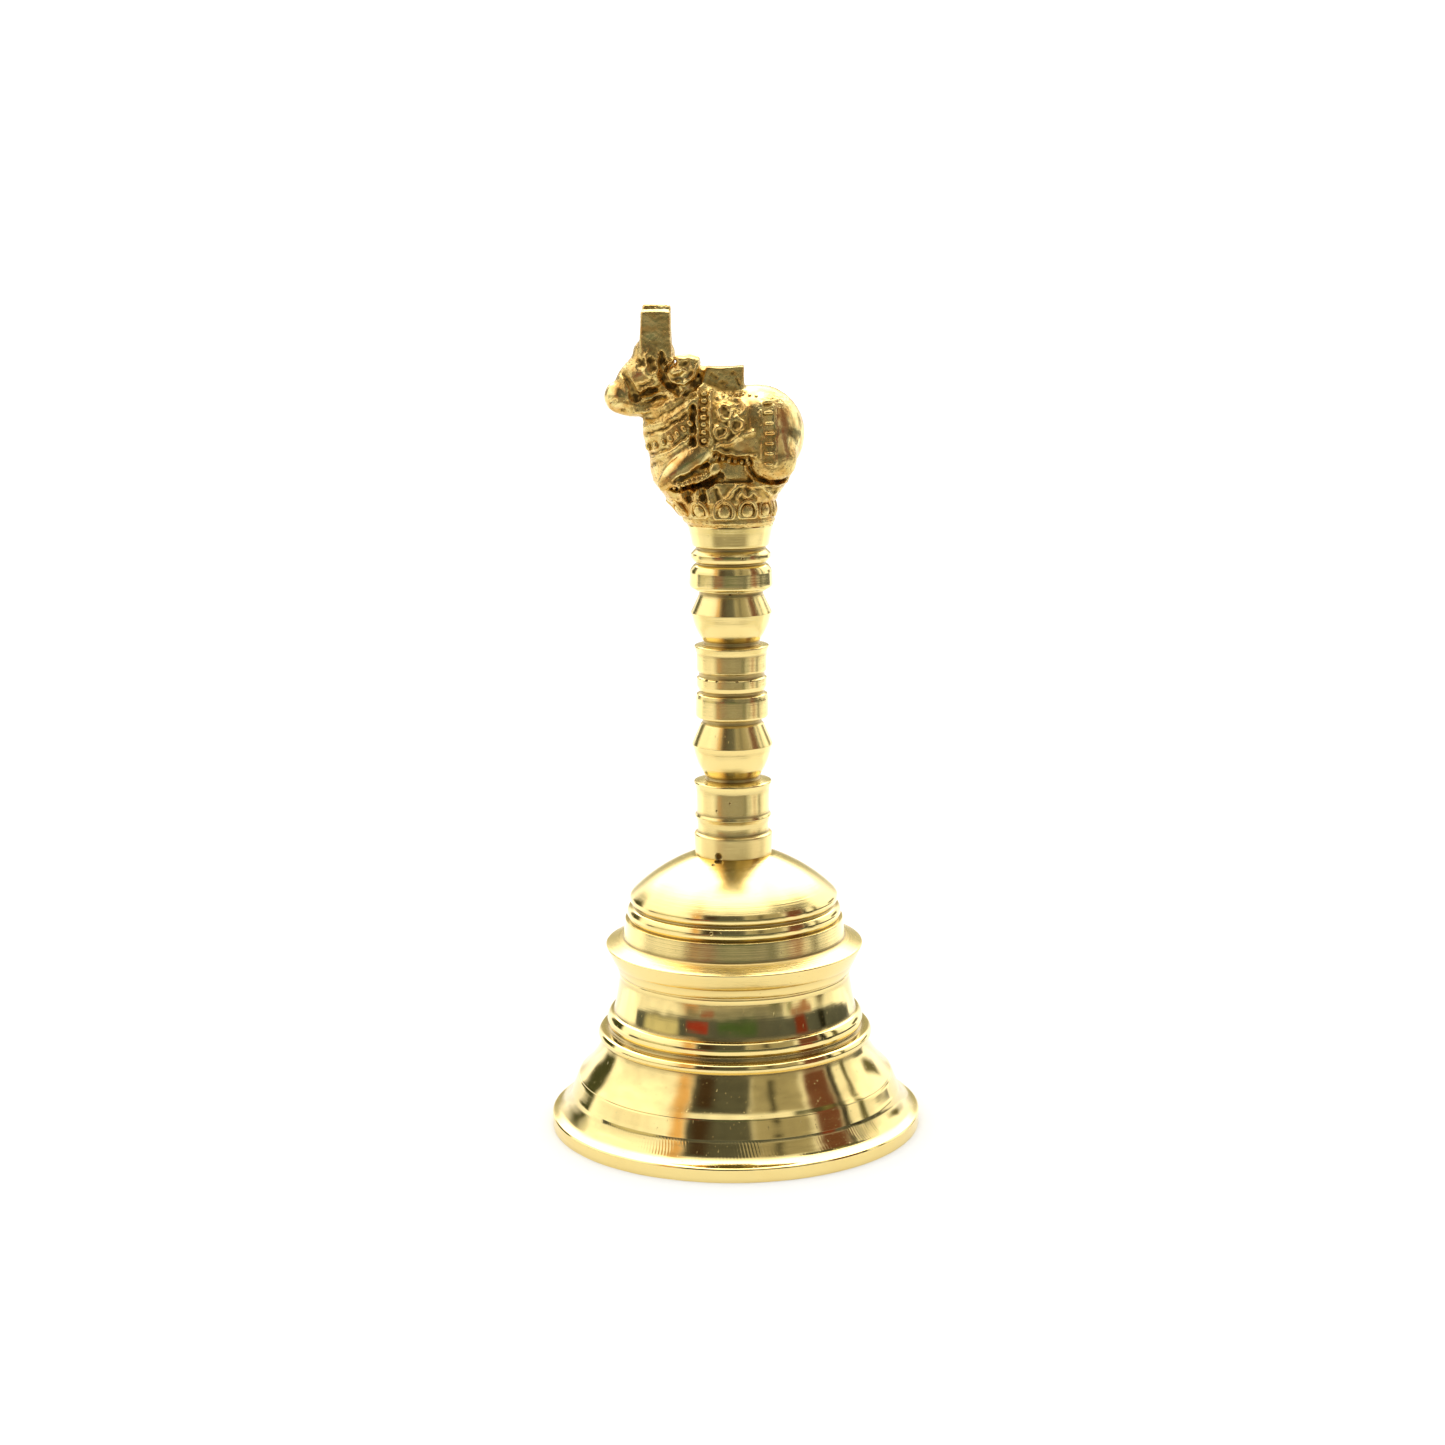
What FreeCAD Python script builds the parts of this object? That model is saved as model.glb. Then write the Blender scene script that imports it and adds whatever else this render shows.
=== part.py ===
"""Brass puja hand bell with a seated bull finial.

Frame: Z is the axis of turning and points up, Z = 0 is the plane that the rim stands on,
and the bull faces -X.  All lengths are millimetres.
"""
import FreeCAD, Part
import math
import os

V = FreeCAD.Vector
UP = V(0, 0, 1)
ORIGIN = V(0, 0, 0)

# ---- driving dimensions -------------------------------------------------------------

# bell
rim_r = 36.5              # outer radius of the mouth
lip_r = 33.8              # inner radius of the flat lip
step_r, step_z = 32.2, 7.4
waist_r, waist_z = 22.8, 30.2
flange_r, flange_z = 25.3, 36.5
drum_r, drum_top_z = 21.4, 41.8
crown_r, crown_z = 19.8, 46.9
seat_r, seat_z = 7.6, 54.5          # flat that the grip stands on
ceiling_r, ceiling_z = 8.0, 51.4    # flat inside that the washer bears on

# grip
grip_top_z = 106.9
spigot_r, spigot_depth = 4.0, 1.2

# finial
collar_top_z = 119.0
plinth_top_z = 127.5
horn_top_z = 160.7

# hardware
fit = 0.02                # radial clearance of a plain or threaded fit
bolt_r = 2.0              # M4 eye bolt
bolt_top_z = 66.0
eye_wire_r, eye_r, eye_z = 1.1, 3.3, 42.6
nut_flats, nut_height = 7.0, 3.2
washer_r, washer_thickness = 5.0, 0.7
stud_r, stud_z, stud_length = 2.5, 98.0, 17.0

# clapper
hang_gap = 0.1            # daylight between two rings that hang in each other
link_wire_r, link_r = 0.8, 3.4
clapper_wire_r, clapper_eye_r = 0.9, 2.6
rod_r = 1.15
ball_r, ball_z = 6.6, 10.2
rivet_r, rivet_height = 1.9, 0.7


# ---- shape helpers ------------------------------------------------------------------

def profile_edges(start, steps):
    """Edges through (r, z) points.  A step of two points is an arc through the first."""
    edges = []
    here = V(start[0], 0, start[1])
    for step in steps:
        if isinstance(step[0], tuple):
            through, end = [V(r, 0, z) for r, z in step]
            edges.append(Part.Arc(here, through, end).toShape())
        else:
            end = V(step[0], 0, step[1])
            edges.append(Part.LineSegment(here, end).toShape())
        here = end
    return edges


def turned(start, steps):
    """Solid of revolution about Z of a closed (r, z) outline."""
    edges = profile_edges(start, steps + [start])
    face = Part.Face(Part.Wire(edges))
    return face.revolve(ORIGIN, UP, 360)


def bead(r_bottom, z_bottom, r_top, z_top, bulge):
    """A half-round ring: the arc from its lower edge to its upper edge."""
    middle = ((r_bottom + r_top) / 2 + bulge, (z_bottom + z_top) / 2)
    return (middle, (r_top, z_top))


def cylinder(r, z_low, z_high):
    return Part.makeCylinder(r, z_high - z_low, V(0, 0, z_low), UP)


def ring(r, wire_r, centre, axis):
    return Part.makeTorus(r, wire_r, centre, axis)


def ellipsoid(centre, radii, tilt=0):
    """Three-axis ellipsoid, tilted about Y by tilt degrees."""
    matrix = FreeCAD.Matrix()
    matrix.scale(*radii)
    matrix.rotateY(math.radians(tilt))
    matrix.move(V(*centre))
    return Part.makeSphere(1).transformGeometry(matrix)


def loft(sections):
    """Smooth solid through ellipses (x, y, z, half length, half width), lowest first."""
    wires = []
    for x, y, z, half_x, half_y in sections:
        major = max(half_x, half_y + 0.01)
        minor = min(half_x - 0.01, half_y)
        ellipse = Part.Ellipse(V(x, y, z), major, minor)
        wires.append(Part.Wire(ellipse.toShape()))
    return Part.makeLoft(wires, True, False)


def slab(outline, y_low, y_high):
    """Plate with an (x, z) outline between two Y planes."""
    points = [V(x, y_low, z) for x, z in outline]
    face = Part.Face(Part.makePolygon(points + points[:1]))
    return face.extrude(V(0, y_high - y_low, 0))


def joined(solids):
    whole = solids[0].fuse(solids[1:])
    return whole.removeSplitter()


# ---- bell ---------------------------------------------------------------------------

def bell_shell():
    outside = [
        (rim_r, 2.65),
        ((33.7, 4.35), (step_r + 0.2, 6.8)),              # lowest flare
        (step_r, step_z),                                 # small step
        (31.1, 10.05),
        ((27.75, 13.95), (26.2, 17.5)),                   # middle flare
        bead(26.3, 17.5, 26.0, 19.6, 0.8),                # lower ring
        (25.0, 19.7),
        (24.8, 20.4),
        bead(24.5, 20.5, 24.4, 23.2, 0.7),                # upper ring
        (23.9, 23.3),
        ((23.15, 27.0), (waist_r, waist_z)),              # waist
        (22.95, 31.1),
        (23.8, 33.35),
        (flange_r, flange_z),                             # flange
        (21.8, 37.9),
        (drum_r, drum_top_z),
        bead(20.4, 41.85, 20.4, 44.3, 0.6),               # crown rings
        (19.9, 44.5),
        bead(19.9, 44.74, 19.8, 46.8, 0.5),
        (crown_r, crown_z),
        ((14.2, 51.35), (seat_r, seat_z)),                # crown cone
    ]
    inside = [
        (spigot_r, seat_z),
        (spigot_r, seat_z - spigot_depth),
        (bolt_r + 0.2, seat_z - spigot_depth),
        (bolt_r + 0.2, ceiling_z),
        (ceiling_r, ceiling_z),
        ((14.6, 49.1), (18.2, 44.6)),                     # dome
        (20.2, 29.8),
        ((22.7, 20.2), (28.2, 10.2)),                     # inner flare
        (33.2, 2.2),
    ]
    return turned((lip_r, 0), [(rim_r, 0)] + outside + inside)


# ---- grip ---------------------------------------------------------------------------

def turned_grip():
    foot_collar = [(7.45, seat_z), (7.62, 58.5), (6.99, 59.1)]
    cove_ring = [((7.05, 61.2), (7.49, 62.25)), (7.1, 62.85)]
    lower_drum = [(7.15, 67.3), (7.59, 68.9)]
    lower_neck = [(5.17, 69.5), (5.17, 69.9)]
    lower_bead = [((6.7, 72.6), (7.49, 75.3)), (7.84, 76.3), (6.02, 80.55)]
    middle_neck = [(5.75, 80.7), (5.75, 81.3)]
    lower_band = [(7.11, 82.1), (7.04, 85.4), (6.86, 86.2), (6.26, 86.66)]
    skin_ring = [(6.49, 87.2), (6.78, 87.9), (6.78, 89.4), (6.35, 90.1)]
    upper_drum = [(6.77, 91.1), (6.8, 94.2), (6.88, 94.5), (7.22, 95.6)]
    upper_neck = [(5.41, 96.07), (5.41, 96.6)]
    upper_bead = [((6.7, 98.8), (7.52, 101.05)), (7.84, 102.1), (6.16, 105.8)]
    top_face = [(6.12, 106.1), (6.93, 106.5), (6.93, grip_top_z), (0, grip_top_z)]
    outline = foot_collar + cove_ring + lower_drum + lower_neck + lower_bead + middle_neck
    outline += lower_band + skin_ring + upper_drum + upper_neck + upper_bead + top_face
    spigot_z = seat_z - spigot_depth
    grip = turned((0, spigot_z), [(spigot_r - fit, spigot_z), (spigot_r - fit, seat_z)] + outline)
    bolt_hole = cylinder(bolt_r + fit, spigot_z - 1, bolt_top_z + 1.5)
    stud_hole = cylinder(stud_r + fit, stud_z - 1.5, grip_top_z + 1)
    return grip.cut(bolt_hole).cut(stud_hole)


# ---- bull finial --------------------------------------------------------------------

def finial_collar():
    band = [(7.79, grip_top_z), (8.04, 107.5), (7.91, 110.0), (7.72, 110.55), (7.24, 111.3)]
    ring_below = [(6.66, 111.7), (7.29, 112.1), (7.69, 112.9), (7.62, 113.45), (6.7, 114.66)]
    collar = [(7.42, 115.2), (7.9, 117.7), (8.29, collar_top_z), (8.5, 119.6), (0, 119.6)]
    return turned((0, grip_top_z), band + ring_below + collar)


def lotus_plinth():
    bowl = loft([
        (0.0, 0, 119.2, 8.1, 8.1),
        (-0.3, 0, 121.4, 8.7, 8.7),
        (-1.4, 0, 124.6, 11.1, 9.1),
        (-1.6, 0, plinth_top_z, 13.0, 9.0),
    ])
    petals = []
    petal_count = 11
    for i in range(petal_count):
        angle = 360.0 / petal_count * (i + 0.5)
        petal = ellipsoid((8.6, 0, 122.3), (0.9, 2.1, 1.9))
        petal.rotate(ORIGIN, UP, angle)
        petals.append(petal)
    return [bowl] + petals


def bull_body():
    rump = ellipsoid((5.1, 0, 136.4), (9.0, 8.4, 9.2))
    barrel = ellipsoid((-3.8, 0, 135.6), (10.2, 8.2, 9.6))
    chest = ellipsoid((-9.8, 0, 131.6), (5.8, 7.0, 8.4), tilt=-8)
    skirt = ellipsoid((-0.6, 0, 129.0), (13.6, 8.8, 4.6))
    neck = ellipsoid((-10.8, 0, 140.6), (6.2, 5.4, 8.6), tilt=24)
    hump = slab([(-6.0, 142.0), (-6.0, 149.8), (-1.2, 149.1), (2.6, 150.1), (3.2, 142.0)], -3.6, 3.6)
    return [rump, barrel, chest, skirt, neck, hump]


def bull_head():
    skull = ellipsoid((-15.4, 0, 148.6), (5.4, 4.4, 4.9), tilt=-40)
    snout = ellipsoid((-18.4, 0, 145.0), (6.6, 3.6, 4.0), tilt=-40)
    muzzle = ellipsoid((-20.8, 0, 142.6), (2.9, 3.3, 3.1))
    horn_outline = [(-17.0, 150.0), (-16.5, horn_top_z), (-11.1, horn_top_z - 0.3), (-10.7, 150.0)]
    solids = [skull, snout, muzzle]
    for side in (-1, 1):
        inner = side * 0.7
        outer = side * 3.9
        solids.append(slab(horn_outline, min(inner, outer), max(inner, outer)))
        ear = ellipsoid((-8.9, side * 4.3, 147.9), (4.1, 1.8, 2.7), tilt=-8)
        solids.append(ear)
    return solids


def bull_legs():
    solids = []
    for side in (-1, 1):
        solids.append(ellipsoid((-9.0, side * 6.6, 131.0), (6.4, 2.4, 3.0), tilt=-38))
        solids.append(ellipsoid((-7.6, side * 7.0, 128.2), (6.0, 2.2, 1.7), tilt=10))
        solids.append(ellipsoid((7.4, side * 5.6, 132.6), (5.2, 3.8, 5.4)))
    return solids


def bull_finial():
    solids = [finial_collar()] + lotus_plinth() + bull_body() + bull_head() + bull_legs()
    finial = joined(solids)
    stud_hole = cylinder(stud_r + fit, grip_top_z - 1, stud_z + stud_length + 1)
    return finial.cut(stud_hole)


def finial_stud():
    return cylinder(stud_r, stud_z, stud_z + stud_length)


# ---- clapper hanger -----------------------------------------------------------------

nut_top_z = ceiling_z - washer_thickness
pivot_z = eye_z - eye_r                                                # eye's lowest wire
link_z = pivot_z + eye_wire_r + link_wire_r + hang_gap - link_r        # link's centre
swing_z = link_z - link_r                                              # link's lowest wire
clapper_eye_z = swing_z + link_wire_r + clapper_wire_r + hang_gap - clapper_eye_r


def eye_bolt():
    shank = cylinder(bolt_r, eye_z + eye_r, bolt_top_z)
    return joined([shank, ring(eye_r, eye_wire_r, V(0, 0, eye_z), V(0, 1, 0))])


def crown_washer():
    return cylinder(washer_r, nut_top_z, ceiling_z).cut(cylinder(bolt_r + 0.15, 0, ceiling_z + 1))


def lock_nut():
    corner_r = nut_flats / 2 / math.cos(math.radians(30))
    corners = [V(corner_r, 0, 0)]
    for i in range(1, 7):
        angle = math.radians(60 * i)
        corners.append(V(corner_r * math.cos(angle), corner_r * math.sin(angle), 0))
    blank = Part.Face(Part.makePolygon(corners)).extrude(V(0, 0, nut_height))
    blank.translate(V(0, 0, nut_top_z - nut_height))
    return blank.cut(cylinder(bolt_r + fit, 0, ceiling_z))


def clapper_link():
    return ring(link_r, link_wire_r, V(0, 0, link_z), V(1, 0, 0))


def clapper_rod():
    eye = ring(clapper_eye_r, clapper_wire_r, V(0, 0, clapper_eye_z), V(0, 1, 0))
    rod = cylinder(rod_r - 0.01, ball_z - ball_r, clapper_eye_z - clapper_eye_r)
    rivet_z = ball_z - math.sqrt(ball_r ** 2 - 2.2 ** 2) - rivet_height
    rivet = turned((0, rivet_z), [((rivet_r * 0.8, rivet_z + 0.2), (rivet_r, rivet_z + rivet_height)),
                                  (0, rivet_z + rivet_height)])
    return joined([eye, rod, rivet])


def clapper_ball():
    """A sphere with a small flat under it and a short collar on top, bored for the rod."""
    flat_r, collar_r, collar_height = 2.2, 2.4, 1.8
    foot_z = ball_z - math.sqrt(ball_r ** 2 - flat_r ** 2)
    neck_z = ball_z + math.sqrt(ball_r ** 2 - collar_r ** 2)
    outline = [
        (rod_r, foot_z),
        (flat_r, foot_z),
        ((ball_r, ball_z), (collar_r, neck_z)),
        (collar_r - 0.4, neck_z + collar_height),
        (rod_r, neck_z + collar_height),
    ]
    return turned(outline[0], outline[1:])


# ---- write --------------------------------------------------------------------------

PIECES = {
    "bell_shell": bell_shell,
    "turned_grip": turned_grip,
    "bull_finial": bull_finial,
    "finial_stud": finial_stud,
    "hanger_eye_bolt": eye_bolt,
    "crown_washer": crown_washer,
    "lock_nut": lock_nut,
    "clapper_link": clapper_link,
    "clapper_rod": clapper_rod,
    "clapper_ball": clapper_ball,
}

os.makedirs("parts", exist_ok=True)
for name, make in PIECES.items():
    shape = make()
    shape.exportStep("parts/" + name + ".step")
    box = shape.BoundBox
    print(name, "valid", shape.isValid(), "solids", len(shape.Solids), "volume", round(shape.Volume, 1),
          "z", round(box.ZMin, 2), round(box.ZMax, 2))
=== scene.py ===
import math
from functools import partial
import bmesh
import bpy
import numpy as np
from mathutils import Matrix, Vector, noise


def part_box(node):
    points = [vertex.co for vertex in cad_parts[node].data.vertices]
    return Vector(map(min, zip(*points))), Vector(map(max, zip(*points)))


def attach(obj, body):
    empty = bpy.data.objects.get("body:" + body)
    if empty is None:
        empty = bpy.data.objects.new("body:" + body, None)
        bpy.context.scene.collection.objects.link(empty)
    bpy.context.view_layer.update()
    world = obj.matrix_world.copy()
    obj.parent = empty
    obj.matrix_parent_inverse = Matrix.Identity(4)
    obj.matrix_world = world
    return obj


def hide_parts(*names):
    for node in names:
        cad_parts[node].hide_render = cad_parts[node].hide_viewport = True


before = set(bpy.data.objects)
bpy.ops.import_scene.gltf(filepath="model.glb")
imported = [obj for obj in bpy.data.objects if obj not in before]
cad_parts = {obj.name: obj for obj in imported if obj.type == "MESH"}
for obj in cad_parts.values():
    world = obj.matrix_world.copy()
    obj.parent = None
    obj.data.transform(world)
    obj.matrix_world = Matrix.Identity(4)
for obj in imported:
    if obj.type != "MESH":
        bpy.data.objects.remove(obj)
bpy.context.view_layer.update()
mm = 0.001

shellLow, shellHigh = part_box("bell_shell")
rimRadius = shellHigh.x / mm
crownTop = shellHigh.z / mm
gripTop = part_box("turned_grip")[1].z / mm

# a fairly long lens a little above the handle, looking down at the bell; lengths in mm, angles in degrees
camera = {
    "lens": 63.03, "sensor": 36.0, "clip": (10.0, 20000.0), "away": 483.1, "height": 171.3, "across": -1.9,
    "pitch": 10.66, "roll": -0.55,
}
outlineStep = 0.04
colourMix = {"data_type": "RGBA", "output": 2}  # sockets 6 and 7 of such a node are its two colours
smoothStep = {"interpolation_type": "SMOOTHSTEP"}


def addObject(name, data):
    thing = bpy.data.objects.new(name, data)
    bpy.context.scene.collection.objects.link(thing)
    return thing


def addCamera():
    lens = bpy.data.cameras.new("camera")
    lens.lens = camera["lens"]
    lens.sensor_width = camera["sensor"]
    lens.clip_start, lens.clip_end = [v * mm for v in camera["clip"]]
    holder = addObject("camera", lens)
    holder.location = Vector((camera["across"], -camera["away"], camera["height"])) * mm
    look = Matrix.Rotation(math.radians(90 - camera["pitch"]), 4, "X")
    roll = Matrix.Rotation(math.radians(camera["roll"]), 4, "Z")
    holder.rotation_euler = (look @ roll).to_euler()
    bpy.context.scene.camera = holder


def hexColour(text, strength=1.0):
    # from the usual screen values to linear light
    levels = [int(text[i:i + 2], 16) / 255 for i in (1, 3, 5)]
    linear = [v / 12.92 if v <= 0.04045 else ((v + 0.055) / 1.055) ** 2.4 for v in levels]
    return (*[v * strength for v in linear], 1.0)


def addNode(tree, kind, *values, sockets=None, output=0, **settings):
    # a kind with no family is a shader node; values fill its inputs in order and sockets by name
    node = tree.nodes.new(kind if "Node" in kind else "ShaderNode" + kind)
    for name, value in settings.items():
        setattr(node, name, value)
    for key, value in [*enumerate(values), *(sockets or {}).items()]:
        if isinstance(value, bpy.types.NodeSocket):
            tree.links.new(value, node.inputs[key])
        elif value is not None:
            node.inputs[key].default_value = value
    return node.outputs[output] if len(node.outputs) else node


def newMaterial(name):
    material = bpy.data.materials.new(name)
    material.use_nodes = True
    material.node_tree.nodes.clear()
    return material, partial(addNode, material.node_tree)


def finishMetal(add, colour, rough, bump):
    sockets = {"Base Color": colour, "Metallic": 1.0, "Roughness": rough, "Normal": bump}
    add("OutputMaterial", add("BsdfPrincipled", sockets=sockets))


# the room that the polish mirrors; a panel is its colour, strength, from and to in degrees across, from and
# to in degrees up, and how soft its edges are. "front" places are those of the metal that mirrors them to
# the front of the bell: 0 faces the front and grows towards +X, and up counts from level. "rear" places are
# plain directions out of the bell
room = {
    "paperLight": 1.28, "open": 1.14, "facing": (0.0, -0.970, 0.242), "fade": (-0.82, -0.66),
    "ripple": 0.06, "rippleScale": 3.4, "mottle": 0.10, "mottleScale": 5.0, "mottleRange": (0.35, 0.65),
    "front": [
        ("#FFFFFF", 3.80, -181, 181, 50, 91, 4.0),  # soft box overhead
        ("#FFFFFF", 1.60, -60, -26, 26, 50, 9.0),  # and one high on the left
        ("#4E5438", 0.80, -74, -61, 14, 48, 2.0),  # doorway
        ("#9A968A", 1.00, -27, 25, -12, 5.6, 6.0),  # table edge, seen in the upright bands
        ("#D8A880", 0.95, -25, -19, -1, 5.6, 2.6),
        ("#70785F", 0.90, 17, 22, -1, 5.6, 2.2),
        ("#9CA48A", 0.95, 26, 29, -1, 5.6, 1.8),
        ("#B88A68", 0.90, 34, 38, -1, 5.6, 2.0),
        ("#6E6A54", 0.85, 43, 48, -1, 5.6, 2.2),
        ("#7C7E76", 1.00, -24, 24, 4.3, 6.4, 1.3),  # lower table edge, in the drum
        ("#A05C48", 0.90, -17, -10, 4.6, 6.2, 1.0),
        ("#A8745A", 0.90, 28, 40, 4.3, 6.4, 1.3),
        ("#63686A", 0.85, -54, 70, 6.5, 15, 0.8),  # dark far side of the room, in the waist
        ("#DEDABC", 0.95, -48, -28, 7.6, 14, 1.4),
        ("#A83A2A", 0.90, -23, -13, 8.0, 10.6, 0.9),
        ("#4A6A3E", 0.85, -8, 10, 7.6, 11.0, 1.8),
        ("#8A3E2A", 0.85, 30, 36, 6.4, 14.5, 1.4),
        ("#2A2A20", 0.80, 44, 48, 6.4, 14.5, 1.2),
        ("#F0C088", 0.98, -24, -18, 15, 49, 2.6),  # warm edge of the dark room, in the flare
        ("#5C5E5A", 0.95, -18, 6, 14.5, 44, 1.6),
        ("#4A3828", 0.80, -16, -9, 15, 40, 3.0),
        ("#ABA694", 1.00, 6, 27, 15, 44, 1.8),
        ("#3E3C30", 0.80, 13, 15.5, 18, 44, 1.8),
        ("#7C5040", 0.85, 29, 41, 15, 47, 2.0),
        ("#2E2C22", 0.70, 41, 44, 14, 50, 0.8),
        ("#6A6A50", 0.90, 49, 52, 14, 44, 1.0),
        ("#4A5442", 0.85, 22, 50, 44.6, 49.4, 1.0),  # plants, low in the flare
        ("#8C8C5C", 0.90, 33, 38, 45, 48.6, 1.4),
    ],
    "rear": [
        ("#FFFFFF", 1.60, 112, 181, -30, 91, 10.0),  # white paper curving up behind
        ("#FFFFFF", 1.60, -181, -112, -30, 91, 10.0),
        ("#EFEBD2", 1.10, -181, 181, -90, -30, 8.0),  # table under the paper
        ("#C2BC98", 0.90, 158, 181, -4, 30, 8.0),  # far wall
        ("#C2BC98", 0.90, -181, -158, -4, 30, 8.0),
        ("#77765A", 0.85, 128, 144, 2, 13, 3.0),  # doors in it
        ("#6E6C4E", 0.85, -146, -134, 2, 15, 3.0),
    ],
}


def anglesOf(add, direction):
    x, y, z = [add("SeparateXYZ", direction, output=i) for i in range(3)]
    front = add("Math", y, -1.0, operation="MULTIPLY")
    turn = add("Math", x, front, operation="ARCTAN2")
    climb = add("Math", z, operation="ARCSINE")
    return [add("Math", v, operation="DEGREES") for v in (turn, climb)]


def edgeMask(add, angle, place, soft):
    return add("MapRange", angle, place - soft, place + soft, **smoothStep)


def addPanels(add, seen, panels, across, up, share):
    for colour, strength, left, right, low, high, soft in panels:
        inside = share
        for angle, start, end in ((across, left, right), (up, low, high)):
            inside = add("Math", inside, edgeMask(add, angle, start, soft), operation="MULTIPLY")
            inside = add("Math", inside, edgeMask(add, angle, end, -soft), operation="MULTIPLY")
        seen = add("Mix", inside, **colourMix, sockets={6: seen, 7: hexColour(colour, strength)})
    return seen


def addRoom():
    world = bpy.data.worlds.new("studio")
    bpy.context.scene.world = world
    world.use_nodes = True
    world.node_tree.nodes.clear()
    add = partial(addNode, world.node_tree)
    straight = add("TexCoord", output="Generated")
    ripple = add("TexNoise", straight, sockets={"Scale": room["rippleScale"], "Detail": 2.0},
                 output="Color")
    offset = add("VectorMath", ripple, (0.5, 0.5, 0.5), operation="SUBTRACT")
    bend = add("VectorMath", offset, sockets={"Scale": room["ripple"]}, operation="SCALE")
    bent = add("VectorMath", straight, bend, operation="ADD")
    way = add("VectorMath", bent, operation="NORMALIZE")
    between = add("VectorMath", way, room["facing"], operation="ADD")
    normal = add("VectorMath", between, operation="NORMALIZE")
    along = add("VectorMath", way, room["facing"], operation="DOT_PRODUCT", output="Value")
    facing = add("MapRange", along, *room["fade"], **smoothStep)
    seen = addPanels(add, hexColour("#FFFFFF", room["open"]), room["rear"], *anglesOf(add, way), 1.0)
    seen = addPanels(add, seen, room["front"], *anglesOf(add, normal), facing)
    clutter = add("TexNoise", straight, sockets={"Scale": room["mottleScale"], "Detail": 2.0})
    uneven = add("MapRange", clutter, *room["mottleRange"], 1 - room["mottle"], 1 + room["mottle"])
    mottled = add("VectorMath", seen, sockets={"Scale": uneven}, operation="SCALE")
    seen = add("Mix", facing, **colourMix, sockets={6: seen, 7: mottled})
    isGloss = add("LightPath", output="Is Glossy Ray")
    light = add("Mix", isGloss, **colourMix, sockets={6: hexColour("#FFFFFF", room["paperLight"]), 7: seen})
    shade = add("Background", light, 1.0)
    add("OutputWorld", shade)


floor = {"colour": "#F7F8F7", "roughness": 0.85, "rings": (rimRadius - 0.1, 145.0, 2500.0), "sides": 192}


def addFloor():
    # open under the bell and clear from beneath, so that the clapper can be looked at from below
    paper, add = newMaterial("matt white paper")
    white = add("BsdfPrincipled", sockets={"Base Color": hexColour(floor["colour"]),
                                           "Roughness": floor["roughness"]})
    beneath = add("NewGeometry", output="Backfacing")
    add("OutputMaterial", add("MixShader", beneath, white, add("BsdfTransparent")))
    angles = np.linspace(0, 2 * math.pi, floor["sides"], endpoint=False)
    circle = np.column_stack((np.cos(angles), np.sin(angles), 0 * angles))
    count = floor["sides"]
    around = [[i + count, (i + 1) % count + count, (i + 1) % count, i] for i in range(count)]
    # the near paper shows in the polish; further out the polish mirrors the room instead
    for name, inner, outer in zip(("paper_near", "paper_far"), floor["rings"], floor["rings"][1:]):
        mesh = newMesh(name, np.concatenate((circle * inner, circle * outer)), around)
        mesh.materials.append(paper)
        sheet = addObject(name, mesh)
        sheet.visible_glossy = name == "paper_near"


def arcThrough(start, middle, end):
    # points along the circle through three places, without the first of them
    (ax, ay), (bx, by), (cx, cy) = start, middle, end
    d = 2 * (ax * (by - cy) + bx * (cy - ay) + cx * (ay - by))
    ux = ((ax**2 + ay**2) * (by - cy) + (bx**2 + by**2) * (cy - ay) + (cx**2 + cy**2) * (ay - by)) / d
    uy = ((ax**2 + ay**2) * (cx - bx) + (bx**2 + by**2) * (ax - cx) + (cx**2 + cy**2) * (bx - ax)) / d
    radius = math.hypot(ax - ux, ay - uy)
    first = math.atan2(ay - uy, ax - ux)
    full = 2 * math.pi
    toMiddle = (math.atan2(by - uy, bx - ux) - first) % full
    toEnd = (math.atan2(cy - uy, cx - ux) - first) % full
    sweep = toEnd if toMiddle < toEnd else toEnd - full
    count = max(2, int(abs(sweep) * radius / outlineStep))
    angles = first + sweep * np.linspace(0, 1, count + 1)[1:]
    return np.column_stack((ux + radius * np.cos(angles), uy + radius * np.sin(angles)))


def walkOutline(outline):
    # two numbers are a straight run to (r, z); four are an arc through (r, z) to (r, z)
    path = [np.array([outline[0]], float)]
    for item in outline[1:] + outline[:1]:
        start, end = path[-1][-1], np.array(item[-2:], float)
        if len(item) == 4:
            path.append(arcThrough(start, item[:2], end))
        else:
            count = max(2, int(np.linalg.norm(end - start) / outlineStep))
            path.append(start + (end - start) * np.linspace(0, 1, count + 1)[1:, None])
    return np.concatenate(path)[:-1]


def softenLoop(path, width):
    # a running average with a bell-shaped weight
    reach = int(3 * width / outlineStep)
    total = np.zeros_like(path)
    weights = 0
    for shift in range(-reach, reach + 1):
        weight = math.exp(-0.5 * (shift * outlineStep / width) ** 2)
        total += np.roll(path, shift, 0) * weight
        weights += weight
    return total / weights


def thinLoop(path, longest, sharpest):
    # points stay close together only where the outline turns
    ahead = np.roll(path, -1, 0) - path
    lengths = np.hypot(*ahead.T)
    heading = np.unwrap(np.arctan2(ahead[:, 1], ahead[:, 0]))
    turns = np.abs(np.diff(heading, append=heading[:1] + 2 * math.pi * np.sign(heading[-1] - heading[0])))
    cost = np.cumsum(lengths / longest + turns / math.radians(sharpest))
    count = int(cost[-1])
    picks = np.unique(np.searchsorted(cost, np.linspace(0, cost[-1], count, endpoint=False)))
    return path[picks], picks


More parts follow.
